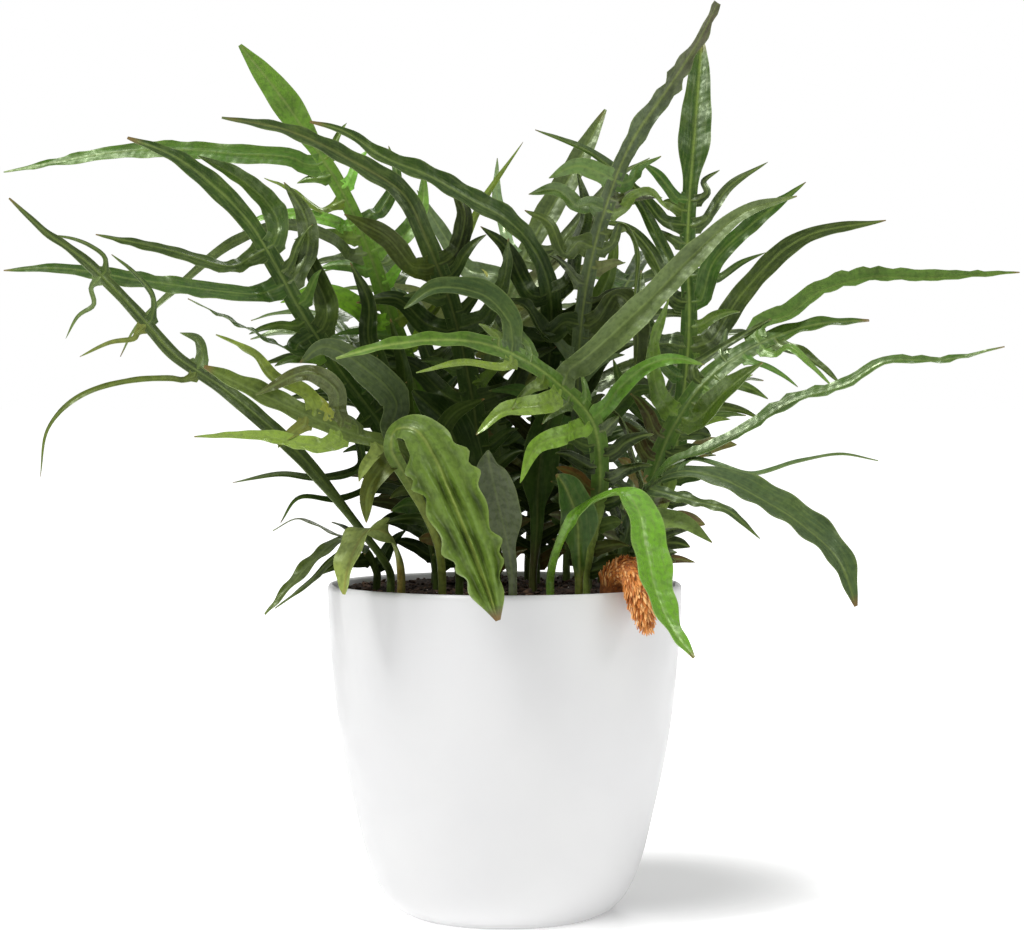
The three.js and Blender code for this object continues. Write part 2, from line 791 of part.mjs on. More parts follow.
function makeFrond(frond, index) {
  const sheet = { points: [], faces: [] };
  const face = new THREE.Vector3(...frond.face).normalize();
  const [x, y] = frond.root;
  const foot = new THREE.Vector3(x, y, soilHeight + 3);
  const knee = new THREE.Vector3(x, y, soilHeight + 9);
  const spine = frond.spine.map((point) => seen(point, frond));
  const line = new THREE.CatmullRomCurve3([foot, knee, ...spine], false, "centripetal");
  const length = line.getLength();
  const stands = standsOf(frond, line, face);
  const [low] = frond.lobed;

  // Half-width and thickness of the midrib with its wing, from the stalk to the end lobe.
  const lastStand = stands.length > 0 ? stands[stands.length - 1].share : low;
  const endStart = lastStand + 6 / length;
  const tipShare = frond.end > BROAD_END ? BROAD_NARROWS : END_NARROWS;
  function sectionAt(share) {
    const winged = ease(share, low * 0.35, low);
    const ended = ease(share, endStart, endStart + 0.35 * (1 - endStart));
    const tip = Math.max(0.12, taperFrom(share, endStart + tipShare * (1 - endStart)));
    const narrowed = ease(share, low * 0.8, low + 0.5 * (1 - low));
    const wing = frond.base + (frond.wing - frond.base) * narrowed;
    const blade = (wing + (frond.end - wing) * ended) * tip;
    return {
      half: STALK_RADIUS + (blade - STALK_RADIUS) * winged,
      edge: STALK_RADIUS * 0.5 * (1 - winged) + BLADE_EDGE * winged,
      rib: STALK_RADIUS * (1 - winged) + (BLADE_RIB + 0.5 * (1 - share)) * winged,
      fold: 0.14 * winged,
      ripple: 1.1 * ended * (1 - ease(share, 0.95, 1)),
    };
  }
  function rowAt(leftShare, rightShare) {
    const shares = [leftShare, (leftShare + rightShare) / 2, rightShare];
    const middle = sectionAt(shares[1]);
    const edges = shares.map((share, k) => {
      const frame = frameOn(line, share, face);
      const { half: broad, fold, ripple } = sectionAt(share);
      const across = k - 1;
      const half = Math.min(broad, 0.7 / bendAcross(line, share, frame.side));
      const wave = ripple * Math.sin(index + across + (share * length) / 7);
      const lift = Math.abs(across) * (fold * half + wave);
      return {
        at: frame.at.addScaledVector(frame.side, across * half).addScaledVector(frame.upper, lift),
        upper: frame.upper,
      };
    });
    return addRing(sheet, edges, middle);
  }

  // The stalk stands straight in its hole, then follows the midrib's line.
  const straight = frameOn(line, 0, face);
  const deepest = new THREE.Vector3(x, y, soilHeight - STALK_DEPTH);
  const bottom = [-1, 0, 1].map((across) => ({
    at: deepest.clone().addScaledVector(straight.side, across * STALK_RADIUS),
    upper: straight.upper,
  }));
  let last = addRing(sheet, bottom, { edge: STALK_RADIUS * 0.5, rib: STALK_RADIUS });
  closeRing(sheet, last, false);
  const open = [];
  function grow(leftShare, rightShare) {
    const ring = rowAt(leftShare, rightShare);
    joinRings(sheet, last, ring, open);
    last = ring;
    return ring;
  }
  grow(0, 0);
  const firstRow = stands.length > 0 ? stands[0].share - 7 / length : low;
  const stalkRows = 5;
  for (let k = 1; k <= stalkRows; k += 1) {
    const share = (firstRow * k) / stalkRows;
    grow(share, share);
  }
  stands.forEach((stand, k) => {
    const reach = { left: stand.left?.[0] ?? 0, right: stand.right?.[0] ?? 0 };
    const half = clamp(Math.max(reach.left, reach.right), 3.2, LOBE_ROOT) / length;
    const rows = [];
    for (const step of [-1, 0, 1]) {
      const share = stand.share + step * half;
      open.length = 0;
      if (step > -1) {
        open.push(...(stand.left ? [LEFT_WALL] : []), ...(stand.right ? [RIGHT_WALL] : []));
      }
      rows.push(grow(share, share));
    }
    open.length = 0;
    const [a, b, c] = rows;
    const frame = frameOn(line, stand.share, face);
    const section = sectionAt(stand.share);
    for (const [name, sign] of [["left", -1], ["right", 1]]) {
      if (!stand[name]) {
        continue;
      }
      const root = sign < 0
        ? [a[0], b[0], c[0], c[5], b[5], a[5]]
        : [c[2], b[2], a[2], a[3], b[3], c[3]];
      const at = frame.at.clone()
        .addScaledVector(frame.side, sign * section.half)
        .addScaledVector(frame.upper, section.fold * section.half);
      const phase = index * 1.7 + k * 2.3 + sign;
      addLobe(sheet, root, half * length, { ...frame, at }, sign, stand[name], face, phase);
    }
  });
  const lastRow = stands.length > 0 ? lastStand + LOBE_ROOT / length : low;
  const endStretches = (1 - lastRow) * (length / LOBE_STEP + turnOf(line) / LOBE_TURN);
  const endRows = clamp(Math.round(endStretches), 4, MOST_STRETCHES);
  for (let k = 1; k <= endRows; k += 1) {
    const share = Math.min(1, lastRow + ((1 - lastRow) * k) / endRows);
    grow(share, share);
  }
  closeRing(sheet, last, true);

  const geometry = new THREE.BufferGeometry();
  const positions = sheet.points.flatMap((point) => point.toArray());
  geometry.setAttribute("position", new THREE.Float32BufferAttribute(positions, 3));
  geometry.setIndex(sheet.faces);
  return geometry;
}

// Solids joined and cut
function toSolid(geometry) {
  const plain = geometry.clone();
  plain.deleteAttribute("normal");
  plain.deleteAttribute("uv");
  const merged = mergeVertices(plain, 1e-4);
  return new wasm.Manifold(new wasm.Mesh({
    numProp: 3,
    vertProperties: Float32Array.from(merged.attributes.position.array),
    triVerts: Uint32Array.from(merged.index.array),
  }));
}

function toGeometry(solid) {
  const mesh = solid.getMesh();
  const geometry = new THREE.BufferGeometry();
  const positions = Float32Array.from(mesh.vertProperties);
  geometry.setAttribute("position", new THREE.BufferAttribute(positions, 3));
  geometry.setIndex(new THREE.BufferAttribute(Uint32Array.from(mesh.triVerts), 1));
  return geometry;
}

// Planter
const outside = [
  [FOOT_RADIUS, 0], [49, 1.3], [54.5, 4.2], [59.8, 9.6], [65.2, 19], [70, 33], [74.8, 53],
  [79.6, 75], [83.6, 99], [86.4, 125], [88, 147], [RIM_RADIUS, RIM_HEIGHT - 3],
];

// The same outline moved inward, square to the wall.
function inward(profile, distance) {
  return profile.map(([radius, height], k) => {
    const [r0, z0] = profile[Math.max(0, k - 1)];
    const [r1, z1] = profile[Math.min(profile.length - 1, k + 1)];
    const run = Math.hypot(r1 - r0, z1 - z0);
    return [radius - (distance * (z1 - z0)) / run, height + (distance * (r1 - r0)) / run];
  });
}

function lathe(profile) {
  const points = profile.map(([radius, height]) => new THREE.Vector2(radius, height));
  const geometry = new THREE.LatheGeometry(points, ROUND_SEGMENTS);
  geometry.rotateX(Math.PI / 2);
  return geometry;
}

function inside(distance) {
  return inward(outside, distance).filter((_, k) => k > 2 && k % 2 === 1);
}

const insideWall = inside(WALL);
const lip = [
  [RIM_RADIUS - 0.5, RIM_HEIGHT - 0.8],
  [RIM_RADIUS - 1.6, RIM_HEIGHT],
  [RIM_RADIUS - 2.8, RIM_HEIGHT - 0.6],
];
const shell = lathe([
  [0, 0],
  ...outside,
  ...lip,
  ...[...insideWall].reverse(),
  [FOOT_RADIUS + 5, FLOOR],
  [0, FLOOR],
]);

// Potting mix, filling the planter and lumpy on top
function lump(x, y) {
  return 0.9 * Math.sin(x * 0.21 + 1.3) * Math.cos(y * 0.17) + 0.6 * Math.sin(x * 0.43 - y * 0.31);
}

function fillPlanter() {
  const wall = inside(WALL + CLEARANCE);
  wall[wall.length - 1][1] = soilHeight - 4;
  const [wallRadius] = wall[wall.length - 1];
  const top = [0.94, 0.7, 0.4].map((share) => [wallRadius * share, soilHeight]);
  const geometry = lathe([
    [0, FLOOR + CLEARANCE],
    [FOOT_RADIUS + 4.6, FLOOR + CLEARANCE],
    ...wall,
    ...top,
    [0, soilHeight],
  ]);
  const position = geometry.attributes.position;
  for (let k = 0; k < position.count; k += 1) {
    if (position.getZ(k) > soilHeight - 0.5) {
      position.setZ(k, position.getZ(k) + lump(position.getX(k), position.getY(k)));
    }
  }
  return geometry;
}

function plainHole([x, y], radius, depth, sides) {
  const height = depth + 20;
  const cutter = new THREE.CylinderGeometry(radius, radius, height, sides);
  cutter.rotateX(Math.PI / 2);
  cutter.translate(x, y, soilHeight - depth + height / 2);
  return toSolid(cutter);
}

const RHIZOME_ROOT = [52, -50];
const holes = FRONDS.map(({ root }) => plainHole(root, STALK_RADIUS + 1.2, STALK_DEPTH + 1, 6));
holes.push(plainHole(RHIZOME_ROOT, RHIZOME_RADIUS + 0.5, STALK_DEPTH + 1, 14));
const soil = toGeometry(holes.reduce((solid, hole) => solid.subtract(hole), toSolid(fillPlanter())));

// Rhizome: a knobbly stem whose overlapping scales stand out in offset rows. It stands straight in
// its hole, then creeps over the rim, swells and hangs down outside to a blunt point.
function makeRhizome() {
  const [x, y] = RHIZOME_ROOT;
  const around = 12;
  const along = 22;
  const line = new THREE.CatmullRomCurve3([
    new THREE.Vector3(x, y, soilHeight + 3),
    new THREE.Vector3(52.9, -51.4, soilHeight + 8.3),
    new THREE.Vector3(56.3, -56.6, 174.6),
    new THREE.Vector3(59.5, -64, 175.8),
    new THREE.Vector3(62.8, -70, 173.2),
    new THREE.Vector3(65, -74.5, 167),
    new THREE.Vector3(66, -76.5, 160),
    new THREE.Vector3(67.2, -78, 152),
  ], false, "centripetal");
  const outward = new THREE.Vector3(0.7, -0.7, 0);
  const points = [];
  const faces = [];
  for (let k = 0; k <= along; k += 1) {
    const share = Math.max(0, k - 1) / (along - 1);
    const at = line.getPointAt(share);
    const tangent = line.getTangentAt(share);
    if (k === 0) {
      at.z = soilHeight - STALK_DEPTH + 4;
    }
    const out = outward.clone().addScaledVector(tangent, -tangent.dot(outward)).normalize();
    const side = new THREE.Vector3().crossVectors(tangent, out);
    const swell = 1 + RHIZOME_SWELL * ease(share, 0.35, 0.62);
    const end = Math.max(0.16, taperFrom(share, 0.56));
    for (let j = 0; j < around; j += 1) {
      const turn = ((j + (k % 2) * 0.5) / around) * 2 * Math.PI;
      const scale = k > 2 && (j + Math.floor(k / 2)) % 2 === 0 ? SCALE_HIGH : SCALE_LOW;
      const radius = RHIZOME_RADIUS * swell * end * scale;
      points.push(at.clone()
        .addScaledVector(out, Math.cos(turn) * radius)
        .addScaledVector(side, Math.sin(turn) * radius));
    }
  }
  for (let k = 0; k < along; k += 1) {
    for (let j = 0; j < around; j += 1) {
      const next = (j + 1) % around;
      const [a, b] = [k * around + j, k * around + next];
      const [c, d] = [a + around, b + around];
      if (k % 2 === 0) {
        faces.push(a, b, c, b, d, c);
      } else {
        faces.push(a, b, d, a, d, c);
      }
    }
  }
  const first = points.length;
  const bottom = line.getPointAt(0).setZ(soilHeight - STALK_DEPTH + 4);
  points.push(bottom, line.getPointAt(1).addScaledVector(line.getTangentAt(1), 1.2));
  for (let j = 0; j < around; j += 1) {
    const next = (j + 1) % around;
    faces.push(first, next, j, first + 1, along * around + j, along * around + next);
  }
  const geometry = new THREE.BufferGeometry();
  const positions = points.flatMap((point) => point.toArray());
  geometry.setAttribute("position", new THREE.Float32BufferAttribute(positions, 3));
  geometry.setIndex(faces);
  return geometry;
}

// The whole plant
const plant = new THREE.Group();
plant.name = "potted_basket_fern";

function addPiece(name, geometry, color) {
  geometry.computeVertexNormals();
  const piece = new THREE.Mesh(geometry, new THREE.MeshStandardMaterial({ color, roughness: 0.6 }));
  piece.name = name;
  plant.add(piece);
}

addPiece("pot", shell, 0xe8e8e8);
addPiece("soil", soil, 0x2a211a);
addPiece("rhizome", makeRhizome(), 0xb4632a);
FRONDS.forEach((frond, index) => addPiece(frond.name, makeFrond(frond, index), 0x4a7a34));

export default plant;
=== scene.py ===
"""A potted basket fern: a white round-bottomed planter, dark potting mix, a rusty scaly rhizome and
arching fronds cut nearly to the midrib into long strap-like lobes.

Metres, +Z up, the origin at the centre of the planter's foot. The front view looks along +Y."""
import math

import bpy
import numpy as np
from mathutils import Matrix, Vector


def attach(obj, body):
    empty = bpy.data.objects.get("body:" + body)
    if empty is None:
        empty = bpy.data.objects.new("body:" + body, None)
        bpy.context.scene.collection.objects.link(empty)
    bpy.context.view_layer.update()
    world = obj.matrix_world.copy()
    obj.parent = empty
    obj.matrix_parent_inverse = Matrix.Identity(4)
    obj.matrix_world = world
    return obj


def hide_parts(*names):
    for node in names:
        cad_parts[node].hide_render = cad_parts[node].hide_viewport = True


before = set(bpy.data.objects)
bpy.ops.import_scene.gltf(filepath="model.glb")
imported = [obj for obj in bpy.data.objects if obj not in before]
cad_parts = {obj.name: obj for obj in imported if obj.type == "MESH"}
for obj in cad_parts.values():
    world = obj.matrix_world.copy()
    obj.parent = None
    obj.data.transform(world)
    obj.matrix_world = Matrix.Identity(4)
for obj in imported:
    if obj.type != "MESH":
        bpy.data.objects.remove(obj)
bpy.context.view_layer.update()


# The camera stands 1.4 m in front of the plant, level with the middle of its foliage and tipped
# down a little. The picture is 1024 by 930, and the lens is a long one, as for product pictures.
CAMERA_PLACE = (0.00365, -1.4, 0.264)
TIPPED_DOWN = 1.6
LENS = 98.44
bpy.ops.object.select_all(action="DESELECT")
bpy.ops.object.camera_add(
    location=CAMERA_PLACE, rotation=(math.radians(90 - TIPPED_DOWN), 0, 0)
)
camera = bpy.context.object
camera.data.sensor_width = 36
camera.data.lens = LENS
bpy.context.scene.camera = camera


# The ground is plain white studio paper, spread far enough that its edge isn't seen. It carries
# painted light: the paper glows, more the further it lies from a spot close beside and behind the
# planter, so that the soft cast shadow stays only there. Tones are shown plainly.
PAPER_SIZE = 60
PAPER_WHITE = (0.84, 0.84, 0.84, 1)
SHADOW_SPOT = (0.06, 0.08, 0)
PAINTED_GLOW_FROM = 0.045
PAINTED_GLOW_TO = 0.18
PAINTED_PAPER_GLOW = 0.75
bpy.context.scene.view_settings.view_transform = "Standard"


def add_node(tree, kind, inputs=None, **settings):
    """A node with its settings and its unlinked values, each given by name or number."""
    node = tree.nodes.new(kind)
    for name, value in settings.items():
        setattr(node, name, value)
    for name, value in (inputs or {}).items():
        node.inputs[name].default_value = value
    return node


def new_finish(name, colour, roughness, specular=0.5):
    """A material: (the material, its node tree, its Principled shader, places on the object)."""
    material = bpy.data.materials.new(name)
    material.use_nodes = True
    tree = material.node_tree
    shader = tree.nodes["Principled BSDF"]
    shader.inputs["Base Color"].default_value = colour
    shader.inputs["Roughness"].default_value = roughness
    shader.inputs["Specular IOR Level"].default_value = specular
    return material, tree, shader, add_node(tree, "ShaderNodeTexCoord").outputs["Object"]


def band_on(tree, value, low, high, to_low=0.0, to_high=1.0, change="SMOOTHSTEP"):
    """A number that changes from one value to another while a given one goes from low to high."""
    node = add_node(
        tree,
        "ShaderNodeMapRange",
        {"From Min": low, "From Max": high, "To Min": to_low, "To Max": to_high},
        interpolation_type=change,
    )
    tree.links.new(value, node.inputs["Value"])
    return node.outputs["Result"]


bpy.ops.mesh.primitive_plane_add(size=PAPER_SIZE)
paper = bpy.context.object
paper.name = "studio_paper"
paper_finish, paper_tree, paper_shader, paper_place = new_finish("white_paper", PAPER_WHITE, 0.9, 0.1)
paper.data.materials.append(paper_finish)
# Painted light: the paper's glow rises from none at the shadow spot to full a little way off.
from_spot = add_node(paper_tree, "ShaderNodeVectorMath", {1: SHADOW_SPOT}, operation="DISTANCE")
paper_tree.links.new(paper_place, from_spot.inputs[0])
painted_glow = band_on(
    paper_tree, from_spot.outputs["Value"], PAINTED_GLOW_FROM, PAINTED_GLOW_TO, 0.0, PAINTED_PAPER_GLOW
)
paper_shader.inputs["Emission Color"].default_value = (1, 1, 1, 1)
paper_tree.links.new(painted_glow, paper_shader.inputs["Emission Strength"])


# The light is a soft sky, bright overhead and dim at the sides, a soft main lamp high on the left in
# front, and weak lamps on the right and behind. The background behind it all is plain white.
SKY_LOW = 0.1
SKY_HIGH = 0.7
SKY_FULL_FROM = 0.9
BACKGROUND_WHITE = 1.0


def hang_lamp(name, place, aim, size, power):
    """A square soft lamp at a place, turned toward a point."""
    bpy.ops.object.light_add(type="AREA", location=place)
    lamp = bpy.context.object
    lamp.name = name
    lamp.data.shape = "SQUARE"
    lamp.data.size = size
    lamp.data.energy = power
    turned = (Vector(aim) - Vector(place)).to_track_quat("-Z", "Y")
    lamp.rotation_euler = turned.to_euler()


hang_lamp("main_lamp", (-1.2, -0.9, 2.5), (0, 0, 0.25), 0.6, 58)
hang_lamp("side_lamp", (2.2, -0.8, 1.6), (0, 0, 0.2), 0.8, 15)
hang_lamp("back_lamp", (0.4, 2.0, 2.0), (0, 0, 0.3), 0.9, 15)

surround = bpy.data.worlds.new("white_surround")
surround.use_nodes = True
bpy.context.scene.world = surround
sky = surround.node_tree
sky_split = add_node(sky, "ShaderNodeSeparateXYZ")
sky.links.new(add_node(sky, "ShaderNodeTexCoord").outputs["Generated"], sky_split.inputs["Vector"])
sky_bright = band_on(sky, sky_split.outputs["Z"], 0.0, SKY_FULL_FROM, SKY_LOW, SKY_HIGH, "LINEAR")
sky_or_background = add_node(sky, "ShaderNodeMix", {3: BACKGROUND_WHITE}, data_type="FLOAT")
seen_directly = add_node(sky, "ShaderNodeLightPath").outputs["Is Camera Ray"]
sky.links.new(seen_directly, sky_or_background.inputs[0])
sky.links.new(sky_bright, sky_or_background.inputs[2])
sky.links.new(sky_or_background.outputs[0], sky.nodes["Background"].inputs["Strength"])
sky.nodes["Background"].inputs["Color"].default_value = (1, 1, 1, 1)


# The planter is one moulded shell of white satin plastic with a rounded belly, a thin rounded lip
# and a flat foot to stand on. Its outline is turned about the upright axis.
MM = 0.001
FOOT_RADIUS = 42
PLANTER_WALL = 3.2
PLANTER_FLOOR = 4
FOOT_RECESS = 0.8
PLANTER_SIDES = 160
HOLLOW_FROM = 16
HOLLOW_TO = 162
SMOOTH_BELOW = math.radians(50)
PLANTER_WHITE = (0.62, 0.62, 0.62, 1)
PLANTER_TONES = [(0.3, (0.58, 0.58, 0.585)), (0.7, (0.6, 0.6, 0.6))]
planter_outside = [
    (42, 0), (46.5, 0.35), (49, 1.3), (54.5, 4.2), (59.8, 9.6), (65.2, 19), (70, 33), (74.8, 53),
    (79.6, 75), (83.6, 99), (86.4, 125), (88, 147), (88.5, 163),
]
planter_lip = [(88.3, 164.6), (87.6, 165.7), (86.9, 166), (86.2, 165.7), (85.5, 164.6)]


def smooth_line(points, steps):
    """A smooth line through the points: its places, and how far along it each one is."""
    given = np.array(points, float)
    given = np.vstack([2 * given[0] - given[1], given, 2 * given[-1] - given[-2]])
    part = np.linspace(0, 1, steps, endpoint=False)[:, None]
    places = []
    for a, b, c, d in zip(given, given[1:], given[2:], given[3:]):
        before, here, after = (
            max(1e-4, np.linalg.norm(step) ** 0.5) for step in (b - a, c - b, d - c)
        )
        leave = ((b - a) / before - (c - a) / (before + here) + (c - b) / here) * here
        arrive = ((c - b) / here - (d - b) / (here + after) + (d - c) / after) * here
        places.append(
            b
            + leave * part
            + (3 * (c - b) - 2 * leave - arrive) * part**2
            + (2 * (b - c) + leave + arrive) * part**3
        )
    places = np.vstack([*places, given[-2:-1]])
    steps_gone = np.linalg.norm(np.diff(places, axis=0), axis=1)
    return places, np.concatenate([[0], np.cumsum(steps_gone)])


def moved_in(outline, distance):
    """An outline moved square to itself toward the axis."""
    run = np.vstack([outline[1:], outline[-1:]]) - np.vstack([outline[:1], outline[:-1]])
    run /= np.linalg.norm(run, axis=1)[:, None]
    return outline + distance * np.stack([-run[:, 1], run[:, 0]], 1)


def turn_outline(name, outline, segments):
    """A solid of revolution from an outline of (radius, height) that starts and ends on the axis."""
    mesh = bpy.data.meshes.new(name)
    wire = [(radius * MM, 0, height * MM) for radius, height in outline]
    mesh.from_pydata(wire, [(k, k + 1) for k in range(len(wire) - 1)], [])
    piece = bpy.data.objects.new(name, mesh)
    bpy.context.collection.objects.link(piece)
    bpy.ops.object.select_all(action="DESELECT")
    piece.select_set(True)
    bpy.context.view_layer.objects.active = piece
    bpy.ops.object.mode_set(mode="EDIT")
    bpy.ops.mesh.select_all(action="SELECT")
    bpy.ops.mesh.spin(steps=segments, angle=2 * math.pi, center=(0, 0, 0), axis=(0, 0, 1))
    bpy.ops.mesh.select_all(action="SELECT")
    bpy.ops.mesh.remove_doubles(threshold=0.00002)
    bpy.ops.mesh.normals_make_consistent(inside=False)
    bpy.ops.object.mode_set(mode="OBJECT")
    return piece


belly = smooth_line(planter_outside[2:], 5)[0]
hollow = moved_in(belly, PLANTER_WALL)
hollow = hollow[(hollow[:, 1] > HOLLOW_FROM) & (hollow[:, 1] < HOLLOW_TO)]
planter = turn_outline(
    "planter",
    [
        (0, FOOT_RECESS), (FOOT_RADIUS - 3, FOOT_RECESS), (FOOT_RADIUS - 2, 0),
        *planter_outside[:2], *belly, *planter_lip, *hollow[::-1],
        (FOOT_RADIUS + 9, 10), (FOOT_RADIUS + 3, PLANTER_FLOOR), (0, PLANTER_FLOOR),
    ],
    PLANTER_SIDES,
)
bpy.ops.object.shade_smooth_by_angle(angle=SMOOTH_BELOW)


def noise_on(tree, coordinates, scale, detail=2.0, roughness=0.5):
    """Noise at a scale per metre, on the given coordinates."""
    noise = add_node(
        tree, "ShaderNodeTexNoise", {"Scale": scale, "Detail": detail, "Roughness": roughness}
    )
    tree.links.new(coordinates, noise.inputs["Vector"])
    return noise.outputs["Fac"]


def colour_by(tree, shader, value, stops):
    """Colours a finish by a ramp of (position, colour) stops, read at a value."""
    ramp = add_node(tree, "ShaderNodeValToRGB")
    elements = ramp.color_ramp.elements
    while len(elements) < len(stops):
        elements.new(0.5)
    for element, (position, colour) in zip(elements, stops):
        element.position = position
        element.color = (*colour, 1)
    tree.links.new(value, ramp.inputs["Fac"])
    tree.links.new(ramp.outputs["Color"], shader.inputs["Base Color"])


def bump_on(tree, shader, height, strength, distance):
    """Fine relief from a height, to the shader's normal."""
    bump = add_node(tree, "ShaderNodeBump", {"Strength": strength, "Distance": distance})
    tree.links.new(height, bump.inputs["Height"])
    tree.links.new(bump.outputs["Normal"], shader.inputs["Normal"])


planter_finish, tree, shader, place = new_finish("satin_white_plastic", PLANTER_WHITE, 0.42, 0.4)
colour_by(tree, shader, noise_on(tree, place, 18, 3), PLANTER_TONES)
planter_gloss = band_on(tree, noise_on(tree, place, 60, 2), 0.3, 0.7, 0.36, 0.5, "LINEAR")
tree.links.new(planter_gloss, shader.inputs["Roughness"])
bump_on(tree, shader, noise_on(tree, place, 1400, 2), 0.12, 0.0002)
planter.data.materials.append(planter_finish)
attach(planter, "root")
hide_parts("pot")


# The planter is filled to just under its rim with dark potting mix: composted bark and peat, lumpy
# on top, with loose crumbs, bark chips and a few pale grains lying on it.
SOIL_HEIGHT = 162.5
SOIL_WALL_GAP = 0.3
SOIL_SIDES = 120
SOIL_RINGS = 24
GRAIN_HEIGHT = 0.16
SOIL_BROWN = (0.02, 0.013, 0.009, 1)
SOIL_TONES = [
    (0.35, (0.006, 0.004, 0.003)),
    (0.55, (0.024, 0.015, 0.01)),
    (0.7, (0.06, 0.04, 0.026)),
    (0.8, (0.12, 0.09, 0.06)),
]
CRUMB_TONES = [(0.3, (0.01, 0.006, 0.004)), (0.5, (0.035, 0.02, 0.012)), (0.68, (0.09, 0.05, 0.026))]
PALE_GRAIN = (0.42, 0.38, 0.32, 1)
PALE_TONES = [(0.35, (0.2, 0.17, 0.13)), (0.65, (0.5, 0.46, 0.4))]


def soil_top(x, y):
    """Height of the potting mix's surface over its mean level."""
    return 0.9 * np.sin(x * 0.21 + 1.3) * np.cos(y * 0.17) + 0.6 * np.sin(x * 0.43 - y * 0.31)


soil_side = moved_in(belly, PLANTER_WALL + SOIL_WALL_GAP)
soil_side = soil_side[(soil_side[:, 1] > 20) & (soil_side[:, 1] < SOIL_HEIGHT - 6)]
top_radius = soil_side[-1][0]
soil_bottom = PLANTER_FLOOR + SOIL_WALL_GAP
soil = turn_outline(
    "potting_mix",
    [
        (0, soil_bottom), (FOOT_RADIUS + 2, soil_bottom), *soil_side, (top_radius, SOIL_HEIGHT - 4),
        *[(top_radius * share, SOIL_HEIGHT) for share in np.linspace(0.96, 0.06, SOIL_RINGS)],
        (0, SOIL_HEIGHT),
    ],
    SOIL_SIDES,
)
crumbs = np.random.default_rng(11)
grain = [crumbs.uniform(0.25, 1.1, 2).tolist() + crumbs.uniform(0, 6.3, 2).tolist() for _ in range(14)]
for vertex in soil.data.vertices:
    if vertex.co.z > (SOIL_HEIGHT - 1) * MM:
        x, y = vertex.co.x / MM, vertex.co.y / MM
        fine = sum(math.sin(a * x + p) * math.sin(b * y + q) for a, b, p, q in grain)
        vertex.co.z += (soil_top(x, y) + GRAIN_HEIGHT * fine) * MM
bpy.ops.object.shade_smooth_by_angle(angle=SMOOTH_BELOW)
soil_finish, tree, shader, place = new_finish("potting_mix", SOIL_BROWN, 0.95, 0.2)
colour_by(tree, shader, noise_on(tree, place, 700, 6, 0.7), SOIL_TONES)
bump_on(tree, shader, noise_on(tree, place, 420, 5, 0.65), 0.9, 0.0012)
soil.data.materials.append(soil_finish)
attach(soil, "root")
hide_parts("soil")


def copies_in_one(name, master, places):
    """One mesh object made of many copies of a master mesh, each moved by its own 4 by 4 matrix."""
    corners = np.array([vertex.co for vertex in master.vertices])
    corners = np.hstack([corners, np.ones((len(corners), 1))])
    faces = [list(face.vertices) for face in master.polygons]
    moved = [corners @ np.array(place).T for place in places]
    mesh = bpy.data.meshes.new(name)
    mesh.from_pydata(
        np.vstack(moved)[:, :3].tolist(),
        [],
        [[v + k * len(corners) for v in face] for k in range(len(places)) for face in faces],
    )
    piece = bpy.data.objects.new(name, mesh)
    bpy.context.collection.objects.link(piece)
    return piece


def set_on(place, size, turn):
    """Matrix that sizes a copy, turns it by three angles and moves it to its place."""
    a, b, c = np.cos(turn)
    d, e, f = np.sin(turn)
    spin_z = np.array([[a, -d, 0], [d, a, 0], [0, 0, 1]])
    spin_x = np.array([[1, 0, 0], [0, b, -e], [0, e, b]])
    spin_y = np.array([[c, 0, f], [0, 1, 0], [-f, 0, c]])
    matrix = np.eye(4)
    matrix[:3, :3] = spin_z @ spin_x @ spin_y @ np.diag(size)
    matrix[:3, 3] = place
    return matrix


def scatter_crumbs(name, finish, count, sizes, squash, seed):
    """Rough crumbs of a size range in millimetres, lying all over the potting mix."""
    bpy.ops.object.select_all(action="DESELECT")
    bpy.ops.mesh.primitive_ico_sphere_add(subdivisions=1, radius=0.5)
    crumb = bpy.context.object
    draw = np.random.default_rng(seed)
    for vertex in crumb.data.vertices:
        vertex.co *= draw.uniform(0.75, 1.2)
    spots = []
    for _ in range(count):
        radius, angle = (top_radius - 1) * math.sqrt(draw.uniform()), draw.uniform(0, 2 * math.pi)
        x, y = radius * math.cos(angle), radius * math.sin(angle)
        size = draw.uniform(*sizes) * draw.uniform([0.7, 0.5, squash], [1.3, 1.1, squash * 1.4])
        height = SOIL_HEIGHT + soil_top(x, y) + 0.18 * size[2]
        turn = draw.uniform([0, -0.5, -0.5], [6.3, 0.5, 0.5])
        spots.append(set_on(np.array([x, y, height]) * MM, size * MM, turn))
    piece = copies_in_one(name, crumb.data, spots)
    bpy.data.objects.remove(crumb)
    piece.data.materials.append(finish)
    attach(piece, "root")


crumb_finish, tree, shader, place = new_finish("soil_crumbs", SOIL_BROWN, 0.9, 0.25)
colour_by(tree, shader, noise_on(tree, place, 260, 1), CRUMB_TONES)
bump_on(tree, shader, noise_on(tree, place, 1500, 3), 0.6, 0.0005)
scatter_crumbs("soil_crumbs", crumb_finish, 2200, (0.9, 2.6), 0.5, 3)
scatter_crumbs("bark_chips", crumb_finish, 240, (3.0, 6.5), 0.3, 5)

pale_finish, tree, shader, place = new_finish("pale_grains", PALE_GRAIN, 0.85)
colour_by(tree, shader, noise_on(tree, place, 900, 2), PALE_TONES)
scatter_crumbs("pale_grains", pale_finish, 160, (0.5, 1.2), 0.7, 8)


